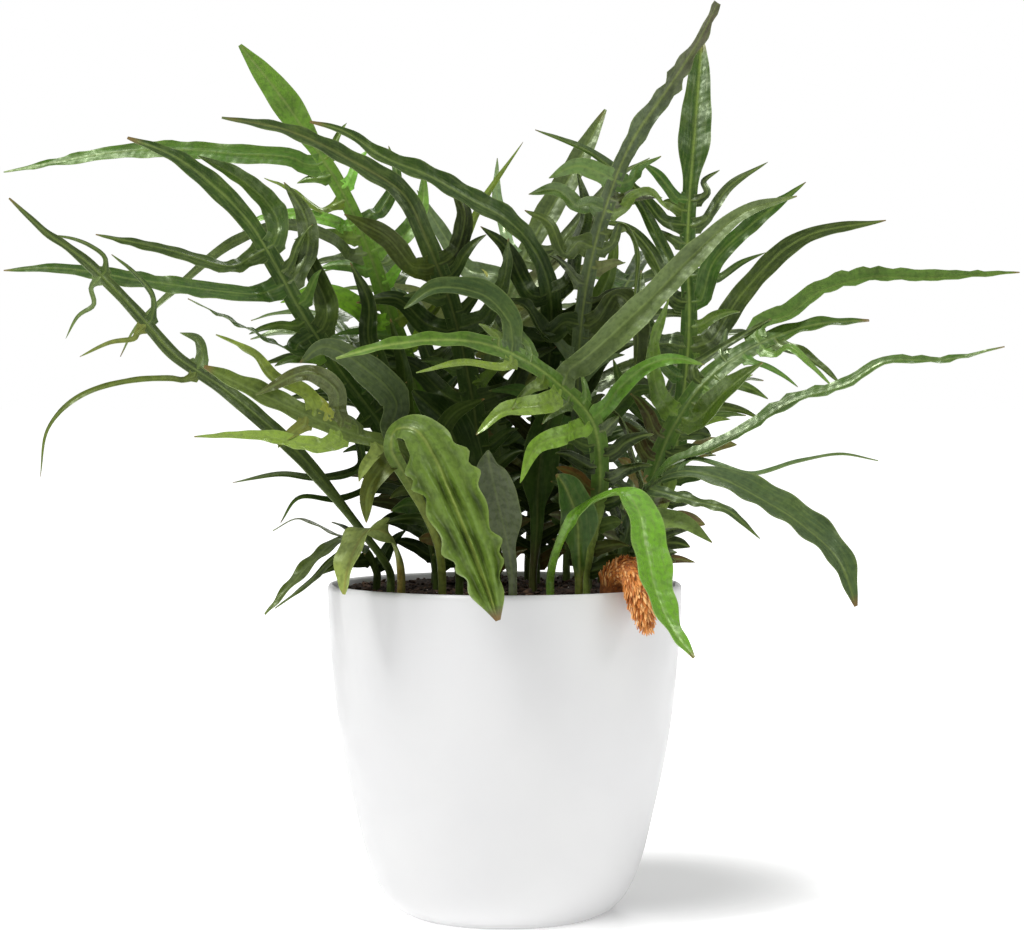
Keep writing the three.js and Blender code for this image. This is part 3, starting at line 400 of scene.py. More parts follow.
# The rhizome is the plant's creeping stem, as thick as a finger. It comes up at the front right,
# bends over the lip and hangs outside, and is wrapped in narrow, papery, rust-coloured scales that
# overlap like thatch and point to its growing end.
RHIZOME_RADIUS = 6.8
RHIZOME_UNDER_SCALES = 0.9
RHIZOME_SWELL = 0.3
RHIZOME_POINT = 0.16
RHIZOME_OUT = (0.7, -0.7, 0.0)
RHIZOME_SUNK = 11
RHIZOME_ROWS = 60
RHIZOME_SIDES = 32
rhizome_way = [
    (52, -50, 165.5), (52.9, -51.4, 170.8), (56.3, -56.6, 174.6), (59.5, -64, 175.8),
    (62.8, -70, 173.2), (65, -74.5, 167), (66, -76.5, 160), (67.2, -78, 152),
]


def ease(value, low, high):
    """Rises smoothly from 0 at low to 1 at high."""
    share = np.clip((value - low) / (high - low), 0, 1)
    return share * share * (3 - 2 * share)


def taper_from(share, start):
    """How a growing tip or a blade narrows to its point from a share of its length on."""
    gone = np.clip((share - start) / (1.01 - start), 0, 1)
    return (1 - gone**2) ** 0.9


def place_at(line, share):
    """Places on a smooth line at shares of its length."""
    places, gone = line
    want = np.clip(share, 0, 1) * gone[-1]
    return np.stack([np.interp(want, gone, places[:, k]) for k in range(3)], -1)


def unit(vectors):
    """The same directions at length one."""
    return vectors / np.linalg.norm(vectors, axis=-1, keepdims=True)


def way_at(line, share):
    """Directions of a smooth line at shares of its length."""
    return unit(place_at(line, np.add(share, 0.008)) - place_at(line, np.subtract(share, 0.008)))


def square_to(vectors, along):
    """The part of each vector that is square to a line's direction, at length one."""
    return unit(vectors - (vectors * along).sum(-1, keepdims=True) * along)


rhizome_line = smooth_line(rhizome_way, 12)


def on_rhizome(share, turn):
    """Centre, outward direction, tip-ward direction and radius on the rhizome."""
    centre = place_at(rhizome_line, share)
    along = way_at(rhizome_line, share)
    out = square_to(np.array(RHIZOME_OUT) + 0 * along, along)
    side = np.cross(along, out)
    outward = np.cos(turn)[..., None] * out + np.sin(turn)[..., None] * side
    pointed = np.maximum(RHIZOME_POINT, taper_from(share, 0.56))
    swollen = 1 + RHIZOME_SWELL * ease(share, 0.35, 0.62)
    return centre, outward, along, RHIZOME_RADIUS * RHIZOME_UNDER_SCALES * swollen * pointed


bpy.ops.object.select_all(action="DESELECT")
bpy.ops.mesh.primitive_cylinder_add(
    vertices=RHIZOME_SIDES, radius=1, depth=1, location=(0, 0, 0.5), end_fill_type="TRIFAN"
)
rhizome = bpy.context.object
rhizome.name = "rhizome_stem"
bpy.ops.object.mode_set(mode="EDIT")
for row in range(1, RHIZOME_ROWS):
    bpy.ops.mesh.select_all(action="SELECT")
    bpy.ops.mesh.bisect(plane_co=(0, 0, row / RHIZOME_ROWS), plane_no=(0, 0, 1))
bpy.ops.object.mode_set(mode="OBJECT")
bpy.ops.object.transform_apply(location=True, rotation=True, scale=True)
flat = np.array([vertex.co for vertex in rhizome.data.vertices])
stem_share = flat[:, 2].clip(0, 1)
stem_centre, stem_out, _, stem_radius = on_rhizome(stem_share, np.arctan2(flat[:, 1], flat[:, 0]))
reach = np.hypot(flat[:, 0], flat[:, 1])[:, None]
stem_places = stem_centre + stem_out * stem_radius[:, None] * reach
stem_places[stem_share < 1e-4, 2] -= RHIZOME_SUNK
rhizome.data.vertices.foreach_set("co", (stem_places * MM).ravel())
bpy.ops.object.shade_smooth()

# One scale is a thin bent leaf, broadest near its foot. It is copied round the rhizome in rings,
# each copy a little turned, leaned and lifted, and with a rust tone of its own.
SCALE_HALF = 0.62
SCALE_HALF_LENGTH = 2.6
SCALE_THICKEN = 1.6
SCALE_RINGS = 42
SCALES_IN_RING = 26
SCALES_NEAR_TIP = 20
SCALE_SEAT = 0.95
bpy.ops.object.select_all(action="DESELECT")
bpy.ops.mesh.primitive_grid_add(x_subdivisions=2, y_subdivisions=4, size=2)
scale_master = bpy.context.object
bpy.ops.object.modifier_add(type="SOLIDIFY")
scale_master.modifiers[0].thickness = 0.1
scale_master.modifiers[0].offset = 0
bpy.ops.object.modifier_apply(modifier=scale_master.modifiers[0].name)
for vertex in scale_master.data.vertices:
    x, y, z = vertex.co
    to_tip = math.sqrt(max(0.006, 1 - ((y + 0.5) / 1.5) ** 2))
    width = SCALE_HALF * to_tip if y > -0.5 else SCALE_HALF + 0.2 * (y + 0.5)
    height = z * SCALE_THICKEN - 0.25 * x * x + 0.10 * (y + 1) ** 2
    vertex.co = (x * width, (y + 1) * SCALE_HALF_LENGTH, height)
draw = np.random.default_rng(21)
scales = []
shade_of_scale = []
for share in np.linspace(0.03, 1.0, SCALE_RINGS):
    ring = SCALES_IN_RING if share < 0.86 else SCALES_NEAR_TIP
    for k in range(ring):
        at_share = np.array(share + draw.uniform(-0.012, 0.012))
        turn = np.array((k + draw.uniform(-0.4, 0.4)) * 2 * math.pi / ring)
        centre, outward, along, radius = on_rhizome(at_share.clip(0, 0.995), turn)
        lean = draw.uniform(-0.35, 0.35)
        across = np.cross(along, outward)
        forward = unit(along + lean * across + draw.uniform(0.05, 0.3) * outward)
        across = unit(np.cross(forward, outward))
        up = np.cross(across, forward)
        matrix = np.eye(4)
        size = draw.uniform(0.8, 1.25)
        matrix[:3, :3] = np.stack([across * size, forward * size, up], 1) * MM
        matrix[:3, 3] = (centre + outward * radius * SCALE_SEAT) * MM
        scales.append(matrix)
        shade_of_scale.append(draw.uniform(0, 1))
rhizome_scales = copies_in_one("rhizome_scales", scale_master.data, scales)
scale_corners = len(scale_master.data.vertices)
bpy.data.objects.remove(scale_master)
tone = rhizome_scales.data.attributes.new("tone", "FLOAT", "POINT")
tone.data.foreach_set("value", np.repeat(shade_of_scale, scale_corners))
rhizome_scales.data.shade_smooth()

SCALE_RUST = (0.5, 0.17, 0.04, 1)
SCALE_TONES = [
    (0.0, (0.34, 0.09, 0.018)),
    (0.3, (0.55, 0.18, 0.035)),
    (0.65, (0.74, 0.3, 0.07)),
    (1.0, (0.9, 0.55, 0.24)),
]
scale_finish, tree, shader, place = new_finish("rusty_scales", SCALE_RUST, 0.55, 0.35)
scale_tone = add_node(tree, "ShaderNodeAttribute", attribute_name="tone").outputs["Fac"]
colour_by(tree, shader, scale_tone, SCALE_TONES)
bump_on(tree, shader, noise_on(tree, place, 2500, 2), 0.4, 0.0002)
rhizome_scales.data.materials.append(scale_finish)

STEM_BROWN = (0.22, 0.07, 0.02, 1)
STEM_TONES = [(0.35, (0.3, 0.09, 0.025)), (0.65, (0.55, 0.2, 0.05))]
stem_finish, tree, shader, place = new_finish("rhizome_skin", STEM_BROWN, 0.8)
colour_by(tree, shader, noise_on(tree, place, 500, 4), STEM_TONES)
bump_on(tree, shader, noise_on(tree, place, 900, 3), 0.6, 0.0006)
rhizome.data.materials.append(stem_finish)
for piece in (rhizome, rhizome_scales):
    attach(piece, "root")
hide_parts("rhizome")


# The fronds. Each is one grown blade with a pale raised midrib and a narrow wing along it, cut into
# strap-like lobes that have a midrib of their own, faint side veins and gently waved pale margins.
# The stalks stand in the potting mix, and the longest fronds arch over under their own weight.
#
# Each frond's own form: root is where its stalk stands and face the way its upper side looks. base,
# wing and end are half the widths of its wing near the stalk, of its wing further on, and of its end
# lobe. Its lobes stand between two shares of its length, lobed. Its spine, and each lobe after its
# half width, goes through points of the front view: across and up in millimetres at the planter's
# own distance, and depth back along the line of sight. sweep leans it back or forward. A frond
# behind has its lobes in pairs by a rule, reach long.
fronds = [
    dict(
        name="frond_left_low", sweep=-50, root=(-56, -26), face=(-0.1, -0.75, 0.6), base=4.6, wing=3,
        end=2, lobed=(0.4, 0.9),
        spine=[
            (-61, 178, -34), (-70, 190, -40), (-84, 208, -48), (-101, 228, -54), (-120, 246, -58),
            (-142, 264, -60), (-164, 279, -60), (-181, 298, -58), (-196, 314, -56), (-212, 329, -54),
            (-229, 341, -50), (-247, 358, -46),
        ],
        left=[
            (
                2.3, (-168, 268, -70), (-192, 266, -76), (-214, 258, -80), (-228, 243, -80),
                (-232, 219, -80),
            ),
            (2.1, (-185, 288, -66), (-197, 286, -70), (-212, 279, -72)),
            (1.9, (-205, 305, -64), (-213, 299, -70), (-219, 288, -72)),
        ],
        right=[
            (4.3, (-148, 278, -54), (-153, 287, -52), (-162, 291, -54)),
            (2.3, (-176, 310, -52), (-184, 320, -50), (-196, 330, -48)),
            (1.7, (-206, 334, -48), (-216, 338, -44), (-230, 340, -42)),
        ],
    ),
    dict(
        name="frond_left_mid", sweep=-20, root=(-34, -6), face=(-0.35, -0.7, 0.6), base=6, wing=4.4,
        end=5.2, lobed=(0.17, 0.72),
        spine=[
            (-42, 207, -14), (-60, 242, -20), (-82, 272, -22), (-102, 302, -20), (-115, 326, -16),
            (-130, 349, -8), (-162, 377, 2), (-188, 388, 8),
        ],
        left=[
            (1.9, (-64, 216, -24), (-84, 207, -30), (-103, 208, -36), (-112, 196, -38)),
            (2.1, (-72, 224, -28), (-92, 218, -34), (-112, 220, -38), (-136, 216, -42)),
            (5, (-106, 282, -38), (-126, 292, -46), (-158, 308, -50)),
            (5.2, (-127, 310, -32), (-182, 317, -34), (-222, 323, -34), (-250, 322, -34)),
            (4.1, (-137, 324, -26), (-167, 332, -26), (-204, 340, -26)),
        ],
        right=[
            (5, (-50, 252, -10), (-50, 272, -8), (-57, 298, -8)),
            (5.5, (-68, 288, -14), (-68, 306, -10), (-77, 326, -8)),
            (5.7, (-90, 308, -14), (-97, 324, -10), (-103, 343, -8)),
            (5.2, (-98, 334, -12), (-100, 350, -10), (-110, 366, -8)),
            (5.7, (-116, 352, 0), (-130, 366, 6), (-153, 379, 10)),
        ],
    ),
    dict(
        name="frond_left_inner", sweep=50, root=(-16, 16), face=(-0.25, -0.85, 0.45), base=5.4, wing=4,
        end=7.6, lobed=(0.26, 0.76),
        spine=[
            (-26, 207, 18), (-42, 257, 20), (-58, 302, 18), (-68, 332, 14), (-80, 359, 10),
            (-95, 384, 8), (-112, 409, 6), (-132, 434, 4),
        ],
        left=[
            (5, (-60, 270, 14), (-78, 278, 10), (-98, 272, 8)),
            (5.2, (-74, 304, 10), (-92, 312, 6), (-112, 306, 4)),
            (
                2.9, (-86, 338, -8), (-108, 345, -26), (-136, 336, -42), (-163, 314, -54),
                (-184, 294, -58), (-192, 279, -58),
            ),
            (3.4, (-84, 346, 6), (-104, 350, 4), (-122, 348, 2), (-131, 342, 0)),
            (1.9, (-92, 352, 4), (-106, 362, 2), (-120, 368, 0)),
            (5, (-106, 378, 6), (-135, 380, 4), (-160, 382, 2), (-192, 381, -2), (-250, 371, -8)),
        ],
        right=[
            (4.6, (-30, 270, 30), (-14, 286, 38), (-4, 300, 42)),
            (2.7, (-38, 300, 24), (-23, 330, 26), (-12, 355, 28), (9, 386, 30)),
            (5, (-52, 338, 20), (-42, 352, 24), (-40, 372, 26)),
            (3.6, (-62, 352, 20), (-54, 368, 22), (-58, 384, 24)),
        ],
    ),
    dict(
        name="frond_centre_left", sweep=-8, root=(-6, -8), face=(-0.1, -0.8, 0.5), base=5.6, wing=5,
        end=5.4, lobed=(0.22, 0.58),
        spine=[
            (-10, 207, -8), (-16, 257, -6), (-26, 302, -4), (-39, 337, -4), (-50, 359, -6),
            (-72, 374, -8), (-107, 391, -10), (-141, 398, -12),
        ],
        left=[
            (5.2, (-32, 262, 0), (-48, 276, 4), (-66, 276, 6)),
            (5.5, (-40, 296, 0), (-54, 308, 4), (-74, 306, 6)),
            (5.7, (-46, 324, -2), (-58, 338, 0), (-80, 350, 2)),
        ],
        right=[
            (5, (2, 262, 2), (12, 278, 10), (26, 284, 16)),
            (5.2, (-10, 298, -8), (0, 318, -12), (2, 338, -14)),
            (5, (-24, 332, 2), (-20, 350, 4), (-28, 368, 4)),
        ],
    ),
    dict(
        name="frond_arching_left", sweep=-25, root=(16, 24), face=(0.1, -0.8, 0.5), base=5.6, wing=5.4,
        end=6.2, lobed=(0.2, 0.5),
        spine=[
            (17, 232, 26), (23, 287, 24), (22, 312, 16), (15, 331, 4), (2, 346, -8), (-17, 357, -16),
            (-38, 369, -22), (-60, 378, -26), (-80, 391, -28), (-97, 396, -28),
        ],
        left=[
            (5, (-2, 262, 18), (-12, 274, 16), (-28, 274, 14)),
            (5.2, (4, 292, 16), (-8, 308, 14), (-20, 312, 12)),
            (5, (8, 318, 16), (0, 334, 14), (-12, 344, 12)),
        ],
        right=[
            (5, (38, 262, 34), (50, 280, 40), (66, 286, 44)),
            (5.2, (40, 298, 38), (52, 320, 44), (56, 344, 46)),
            (4.6, (34, 332, 32), (40, 350, 38), (36, 372, 40)),
        ],
    ),
    dict(
        name="frond_centre_back", sweep=60, root=(-4, 46), face=(0.1, -0.7, 0.5), base=5.6, wing=5,
        end=7, lobed=(0.22, 0.66),
        spine=[(-2, 222, 50), (-8, 272, 56), (0, 307, 60), (15, 339, 60), (32, 368, 58), (50, 402, 56)],
        left=[
            (5.5, (-26, 258, 46), (-40, 270, 44), (-56, 268, 42)),
            (5.5, (-26, 294, 52), (-42, 310, 50), (-60, 316, 48)),
            (5, (-18, 322, 66), (-32, 342, 70), (-44, 362, 72)),
            (3.2, (0, 342, 66), (-4, 358, 68), (-4, 378, 70)),
        ],
        right=[
            (5.5, (14, 268, 52), (30, 284, 50), (48, 286, 48)),
            (5, (22, 306, 56), (40, 322, 54), (60, 326, 54)),
            (4.3, (36, 338, 66), (50, 352, 72), (68, 356, 76)),
            (3.2, (46, 358, 64), (58, 370, 68), (72, 378, 72)),
        ],
    ),
    dict(
        name="frond_right_tall", root=(42, 8), face=(0.5, -0.75, 0.3), base=5, wing=4.4, end=5,
        lobed=(0.22, 0.68),
        spine=[
            (40, 217, 6), (36, 262, 4), (40, 312, 6), (49, 350, 8), (62, 384, 10), (80, 411, 12),
            (95, 434, 14), (106, 455, 16),
        ],
        left=[
            (4.8, (20, 250, -4), (8, 262, -10), (-8, 262, -14)),
            (5.2, (20, 290, -6), (10, 304, -20), (-4, 308, -30)),
            (4.8, (30, 330, -4), (22, 346, -8), (10, 352, -10)),
            (4.1, (36, 354, 0), (26, 362, -4), (12, 360, -8)),
            (4.6, (50, 370, 4), (36, 374, 2), (22, 368, 0)),
        ],
        right=[
            (4.8, (52, 250, 12), (66, 262, 14), (82, 262, 16)),
            (5.7, (55, 310, 10), (63, 304, 14), (66, 284, 20), (61, 258, 22)),
            (2.5, (58, 346, 4), (66, 336, 0), (65, 306, -2)),
            (2.7, (64, 360, 6), (72, 362, 4), (82, 352, 2)), (3.2, (66, 374, 8), (78, 379, 6)),
        ],
    ),
    dict(
        name="frond_right_upright", sweep=60, root=(66, 24), face=(0.0, -0.95, 0.25), base=5, wing=4,
        end=8.6, lobed=(0.26, 0.7),
        spine=[
            (80, 207, 26), (89, 257, 28), (92, 297, 28), (91, 332, 28), (92, 357, 28), (95, 397, 28),
            (98, 437, 30),
        ],
        left=[
            (5, (72, 250, 26), (60, 262, 26), (54, 278, 26)),
            (5.2, (76, 286, 34), (68, 302, 38), (68, 322, 40)),
            (4.1, (82, 312, 24), (72, 332, 20), (60, 344, 18), (46, 346, 18)),
            (3.2, (82, 326, 26), (74, 342, 26), (63, 362, 24), (45, 379, 22), (15, 392, 20)),
            (3.6, (78, 347, 24), (70, 357, 22), (61, 367, 20)),
            (3.2, (84, 358, 26), (76, 370, 26), (68, 376, 26)),
        ],
        right=[
            (5.5, (104, 288, 34), (118, 310, 38), (148, 338, 38), (190, 347, 36)),
            (5, (99, 308, 24), (104, 326, 18), (122, 344, 16), (150, 366, 16)),
            (2.5, (106, 318, 42), (118, 326, 46), (130, 331, 48)),
            (2.9, (102, 350, 32), (112, 364, 34), (131, 376, 34)), (1.9, (99, 366, 30), (107, 372, 30)),
        ],
    ),
    dict(
        name="frond_right_reach", sweep=20, root=(64, -2), face=(0.3, -0.6, 0.75), base=5, wing=5.4,
        end=4, lobed=(0.3, 0.74),
        spine=[
            (72, 212, -6), (84, 243, -8), (102, 268, -8), (125, 284, -8), (152, 294, -8),
            (182, 297, -8),
        ],
        left=[
            (4.6, (76, 262, -12), (74, 284, -14), (82, 308, -14)),
            (2.3, (100, 278, -4), (116, 288, -4), (133, 298, -4)),
            (5, (141, 299, -4), (157, 311, 0), (182, 318, 4), (212, 318, 4), (257, 321, 4)),
        ],
        right=[
            (6.4, (96, 249, -14), (112, 263, -24), (129, 276, -30)),
            (1.9, (104, 258, -16), (112, 265, -18), (124, 270, -20)),
            (2.1, (142, 284, -22), (152, 276, -28), (164, 264, -34)),
        ],
    ),
    dict(
        name="frond_right_drooping", sweep=-30, root=(56, -22), face=(0.1, -0.55, 0.85), base=5.4,
        wing=5.6, end=10.6, lobed=(0.16, 0.4),
        spine=[
            (62, 190, -30), (70, 211, -42), (88, 221, -54), (107, 218, -62), (127, 208, -66),
            (148, 195, -70), (167, 177, -72), (176, 154, -72),
        ],
        left=[
            (4.6, (64, 232, -32), (60, 246, -32), (50, 256, -34)),
            (
                4.8, (100, 231, -44), (120, 241, -42), (144, 256, -42), (172, 265, -42),
                (190, 276, -42), (220, 277, -42), (250, 284, -42),
            ),
            (1.6, (124, 220, -56), (146, 226, -52), (168, 230, -50), (187, 227, -48)),
        ],
        right=[
            (5, (78, 198, -54), (90, 196, -62), (104, 186, -66)),
            (3.2, (98, 206, -72), (112, 202, -80), (128, 188, -86)),
        ],
    ),
    dict(
        name="frond_front_arching", sweep=-10, root=(40, -34), face=(-0.1, -0.75, 0.6), base=4.6,
        wing=5.4, end=4.2, lobed=(0.26, 0.66),
        spine=[
            (45, 192, -40), (48, 220, -48), (44, 246, -58), (28, 264, -70), (10, 277, -80),
            (-10, 285, -88), (-32, 287, -92), (-60, 284, -96), (-84, 278, -98),
        ],
        left=[
            (4.6, (30, 240, -78), (16, 234, -88), (8, 216, -96)),
            (5, (16, 254, -88), (0, 252, -96), (-14, 240, -100)),
            (2.1, (-6, 274, -94), (-20, 276, -98), (-44, 271, -102)),
        ],
        right=[
            (4.1, (56, 262, -46), (70, 274, -46), (84, 278, -46), (100, 275, -46)),
            (6.8, (42, 280, -68), (72, 307, -68), (97, 332, -68), (120, 351, -68), (146, 359, -68)),
            (6.8, (2, 296, -72), (-10, 309, -66), (-34, 313, -66), (-50, 303, -70)),
        ],
    ),
    dict(
        name="frond_front_left", sweep=-25, root=(-22, -40), face=(-0.2, -0.7, 0.65), base=5, wing=5.6,
        end=6, lobed=(0.24, 0.7),
        spine=[
            (-26, 187, -48), (-36, 212, -58), (-52, 232, -70), (-76, 240, -82), (-102, 251, -88),
            (-126, 262, -92), (-150, 274, -92),
        ],
        left=[
            (5, (-62, 222, -88), (-68, 212, -92), (-69, 196, -94)),
            (4.6, (-92, 234, -98), (-122, 239, -102), (-155, 239, -104)),
        ],
        right=[
            (5.7, (-34, 234, -52), (-26, 250, -48), (-10, 258, -46)),
            (7.5, (-54, 256, -64), (-68, 272, -66), (-90, 284, -70), (-102, 276, -74)),
            (4.6, (-84, 262, -78), (-98, 271, -86), (-124, 260, -100)),
            (4.1, (-116, 268, -84), (-126, 280, -84), (-144, 290, -84)),
        ],
    ),
    dict(
        name="frond_front_drooping", root=(-30, -54), face=(-0.1, -0.85, 0.5), base=3.4, wing=6,
        end=13.6, lobed=(0.42, 0.42),
        spine=[
            (-33, 184, -62), (-41, 204, -74), (-50, 220, -85), (-56, 232, -94), (-54, 242, -102),
            (-44, 242, -108), (-34, 227, -112), (-26, 208, -114), (-18, 188, -115), (-10, 167, -115),
            (-3, 147, -114),
        ],
    ),
    dict(
        name="frond_left_rim", root=(-64, -2), face=(-0.3, -0.6, 0.75), base=3.4, wing=4, end=4,
        lobed=(0.3, 0.42),
        spine=[(-70, 182, -6), (-80, 188, -18), (-94, 178, -34), (-108, 163, -46), (-120, 150, -52)],
        left=[
            (2.1, (-86, 178, -34), (-98, 166, -50), (-115, 153, -62)),
        ],
        right=[
            (2.7, (-92, 194, -8), (-104, 198, -2), (-116, 192, 2)),
        ],
    ),
    dict(
        name="frond_front_right_plain", root=(22, -56), face=(0.45, -0.6, 0.65), base=3, wing=5, end=10,
        lobed=(0.3, 0.3),
        spine=[
            (26, 182, -62), (34, 198, -70), (47, 208, -80), (60, 210, -90), (67, 201, -98),
            (71, 182, -104), (76, 160, -108), (84, 142, -110), (95, 128, -112),
        ],
    ),
    dict(
        name="leaf_base_front", root=(4, -62), face=(-0.15, -0.95, 0.2), base=3, wing=6, end=10,
        lobed=(0.2, 0.2),
        spine=[(2, 184, -66), (-3, 206, -72), (-7, 224, -80), (-8, 232, -88)],
    ),
    dict(
        name="leaf_base_left", root=(-50, -46), face=(-0.7, -0.55, 0.5), base=3, wing=7, end=10,
        lobed=(0.3, 0.3),
        spine=[
            (-53, 179, -50), (-58, 190, -57), (-66, 193, -66), (-73, 185, -74), (-78, 172, -80),
            (-80, 160, -83),
        ],
    ),
    dict(
        name="leaf_base_centre", root=(-14, -28), face=(-0.1, -0.9, 0.4), base=3, wing=8, end=11,
        lobed=(0.3, 0.3),
        spine=[(-16, 194, -28), (-20, 220, -30), (-28, 244, -34), (-46, 262, -40)],
    ),
    dict(
        name="leaf_base_right", root=(36, -50), face=(0.15, -0.9, 0.4), base=3, wing=7, end=9.4,
        lobed=(0.22, 0.22),
        spine=[(37, 182, -54), (36, 198, -58), (31, 212, -64), (26, 220, -72)],
    ),
    dict(
        name="leaf_base_inner", root=(14, -24), face=(0.15, -0.9, 0.4), base=3, wing=7, end=9,
        lobed=(0.3, 0.3),
        spine=[(16, 192, -26), (17, 220, -30), (22, 246, -34), (34, 264, -42)],
    ),
    dict(
        name="frond_back_left", root=(-36, 38), face=(0.25, -0.5, 0.85), base=5, wing=4, end=5,
        lobed=(0.3, 0.76), pairs=5, reach=62,
        spine=[(-46, 212, 52), (-60, 252, 76), (-76, 284, 104), (-92, 304, 136), (-108, 312, 170)],
    ),
    dict(
        name="frond_back_centre", root=(12, 64), face=(0.02, -0.55, 0.85), base=5, wing=4, end=5,
        lobed=(0.3, 0.76), pairs=5, reach=54,
        spine=[(14, 212, 80), (18, 258, 106), (20, 294, 138), (20, 318, 176), (18, 326, 214)],
    ),
    dict(
        name="frond_back_right", root=(50, 48), face=(-0.3, -0.5, 0.85), base=5, wing=4, end=5,
        lobed=(0.3, 0.76), pairs=5, reach=60,
        spine=[(62, 208, 64), (76, 244, 90), (88, 274, 120), (98, 292, 152), (110, 300, 184)],
    ),
    dict(
        name="frond_back_inner_left", root=(-22, 58), face=(0.2, -0.6, 0.8), base=5.4, wing=4.4,
        end=5.4, lobed=(0.3, 0.76), pairs=4, reach=52,
        spine=[(-26, 222, 64), (-36, 272, 80), (-52, 308, 104), (-70, 334, 132), (-88, 350, 162)],
    ),
    dict(
        name="frond_back_inner_right", root=(32, 58), face=(-0.2, -0.6, 0.8), base=5.4, wing=4.4,
        end=5.4, lobed=(0.3, 0.76), pairs=4, reach=50,
        spine=[(34, 222, 64), (44, 270, 80), (56, 305, 104), (68, 326, 132), (80, 334, 162)],
    ),
]


# Living leaf: dark glossy green, paler beneath, with a pale midrib, fine side veins that slant to
# the margin, and a thin yellowish margin. The tips are often a little brown. Near the plant's heart
# the leaves carry painted shade: the closer to that point, the darker their colour and the less sheen.
LEAF_GREEN = (0.03, 0.08, 0.01, 1)
SHEEN_GREEN = (0.78, 0.9, 0.6, 1)
YELLOWED = (0.12, 0.19, 0.02)
DARKENED = (0.008, 0.02, 0.002)
FIBRE_GREEN = (0.15, 0.2, 0.05)
VEIN_GREEN = (0.11, 0.17, 0.03)
UNDER_GREEN = (0.1, 0.15, 0.05)
MIDRIB_GREEN = (0.2, 0.27, 0.06)
MARGIN_YELLOW = (0.25, 0.32, 0.1)
PAINTED_SHADE_GREEN = (0.004, 0.01, 0.001)
TIP_BROWN = (0.16, 0.08, 0.03)
VEIN_SPACING = 0.0046
VEIN_SLANT = 0.55
VEIN_WOBBLE = 0.0016
FIBRE_STRETCH = 9
PAINTED_SHADE_CENTRE = (-0.025, 0.01, 0.24)
leaf_finish, leaf_tree, leaf_shader, leaf_place = new_finish("fern_leaf", LEAF_GREEN, 0.38)
leaf_shader.inputs["Specular Tint"].default_value = SHEEN_GREEN


def leaf_math(operation, first, second=None, third=None):
    """One step of arithmetic on leaf values."""
    node = add_node(leaf_tree, "ShaderNodeMath", operation=operation)
    for slot, value in enumerate((first, second, third)):
        if isinstance(value, (int, float)):
            node.inputs[slot].default_value = value
        elif value is not None:
            leaf_tree.links.new(value, node.inputs[slot])
    return node.outputs["Value"]


def leaf_band(value, low, high, to_low=0.0, to_high=1.0):
    """A smooth change from one value to another as a leaf value goes from low to high."""
    return band_on(leaf_tree, value, low, high, to_low, to_high)


def leaf_reading(name):
    """The three numbers of a point attribute of the blades."""
    node = add_node(leaf_tree, "ShaderNodeAttribute", attribute_name=name)
    split = add_node(leaf_tree, "ShaderNodeSeparateXYZ")
    leaf_tree.links.new(node.outputs["Vector"], split.inputs["Vector"])
    return split.outputs["X"], split.outputs["Y"], split.outputs["Z"]


across_blade, along_blade, edge_share = leaf_reading("on_blade")
tip_share, underside, lobe_gloss = leaf_reading("kind")
off_midrib = leaf_math("ABSOLUTE", across_blade)
cloud = noise_on(leaf_tree, leaf_place, 45, 3)
mottle = noise_on(leaf_tree, leaf_place, 420, 3)

vein_run = leaf_math("SUBTRACT", along_blade, leaf_math("MULTIPLY", off_midrib, VEIN_SLANT))
vein_wobble = leaf_math("MULTIPLY", noise_on(leaf_tree, leaf_place, 220, 2), VEIN_WOBBLE)
vein_run = leaf_math("ADD", vein_run, vein_wobble)
vein_wave = leaf_math("COSINE", leaf_math("MULTIPLY", vein_run, 2 * math.pi / VEIN_SPACING))
vein_line = leaf_band(vein_wave, 0.72, 1.0)
margin_line = leaf_band(leaf_math("ABSOLUTE", edge_share), 0.9, 0.99)
midrib_line = leaf_band(off_midrib, 0.0007, 0.0003)

fibre_place = add_node(leaf_tree, "ShaderNodeCombineXYZ")
leaf_tree.links.new(leaf_math("MULTIPLY", across_blade, FIBRE_STRETCH), fibre_place.inputs["X"])
leaf_tree.links.new(along_blade, fibre_place.inputs["Y"])
fibres = noise_on(leaf_tree, fibre_place.outputs["Vector"], 90, 3)

# Painted shade: leaf colour darkens to a deep green, and the sheen drops, near the plant's heart.
from_heart = add_node(leaf_tree, "ShaderNodeVectorMath", {1: PAINTED_SHADE_CENTRE}, operation="DISTANCE")
leaf_tree.links.new(leaf_place, from_heart.inputs[0])
painted_heart_shade = leaf_band(from_heart.outputs["Value"], 0.055, 0.14, 0.74, 0.0)
browned = leaf_math("MULTIPLY", leaf_band(tip_share, 0.965, 1.0), leaf_band(cloud, 0.45, 0.55, 0.0, 0.8))

leaf_green = add_node(leaf_tree, "ShaderNodeAttribute", attribute_name="tint").outputs["Color"]
for share, over in (
    (leaf_band(cloud, 0.45, 0.75, 0.0, 0.22), YELLOWED),
    (leaf_band(cloud, 0.5, 0.25, 0.0, 0.5), DARKENED),
    (leaf_band(fibres, 0.45, 0.65, 0.0, 0.26), FIBRE_GREEN),
    (leaf_band(mottle, 0.4, 0.7, 0.0, 0.35), DARKENED),
    (leaf_math("MULTIPLY", vein_line, 0.07), VEIN_GREEN),
    (leaf_math("MULTIPLY", underside, 0.25), UNDER_GREEN),
    (leaf_math("MULTIPLY", midrib_line, 0.22), MIDRIB_GREEN),
    (leaf_math("MULTIPLY", margin_line, 0.26), MARGIN_YELLOW),
    # painted shade near the plant's heart
    (painted_heart_shade, PAINTED_SHADE_GREEN),
    (browned, TIP_BROWN),
):
    laid_over = add_node(leaf_tree, "ShaderNodeMix", {7: (*over, 1)}, data_type="RGBA")
    leaf_tree.links.new(share, laid_over.inputs[0])
    leaf_tree.links.new(leaf_green, laid_over.inputs[6])
    leaf_green = laid_over.outputs[2]
leaf_tree.links.new(leaf_green, leaf_shader.inputs["Base Color"])

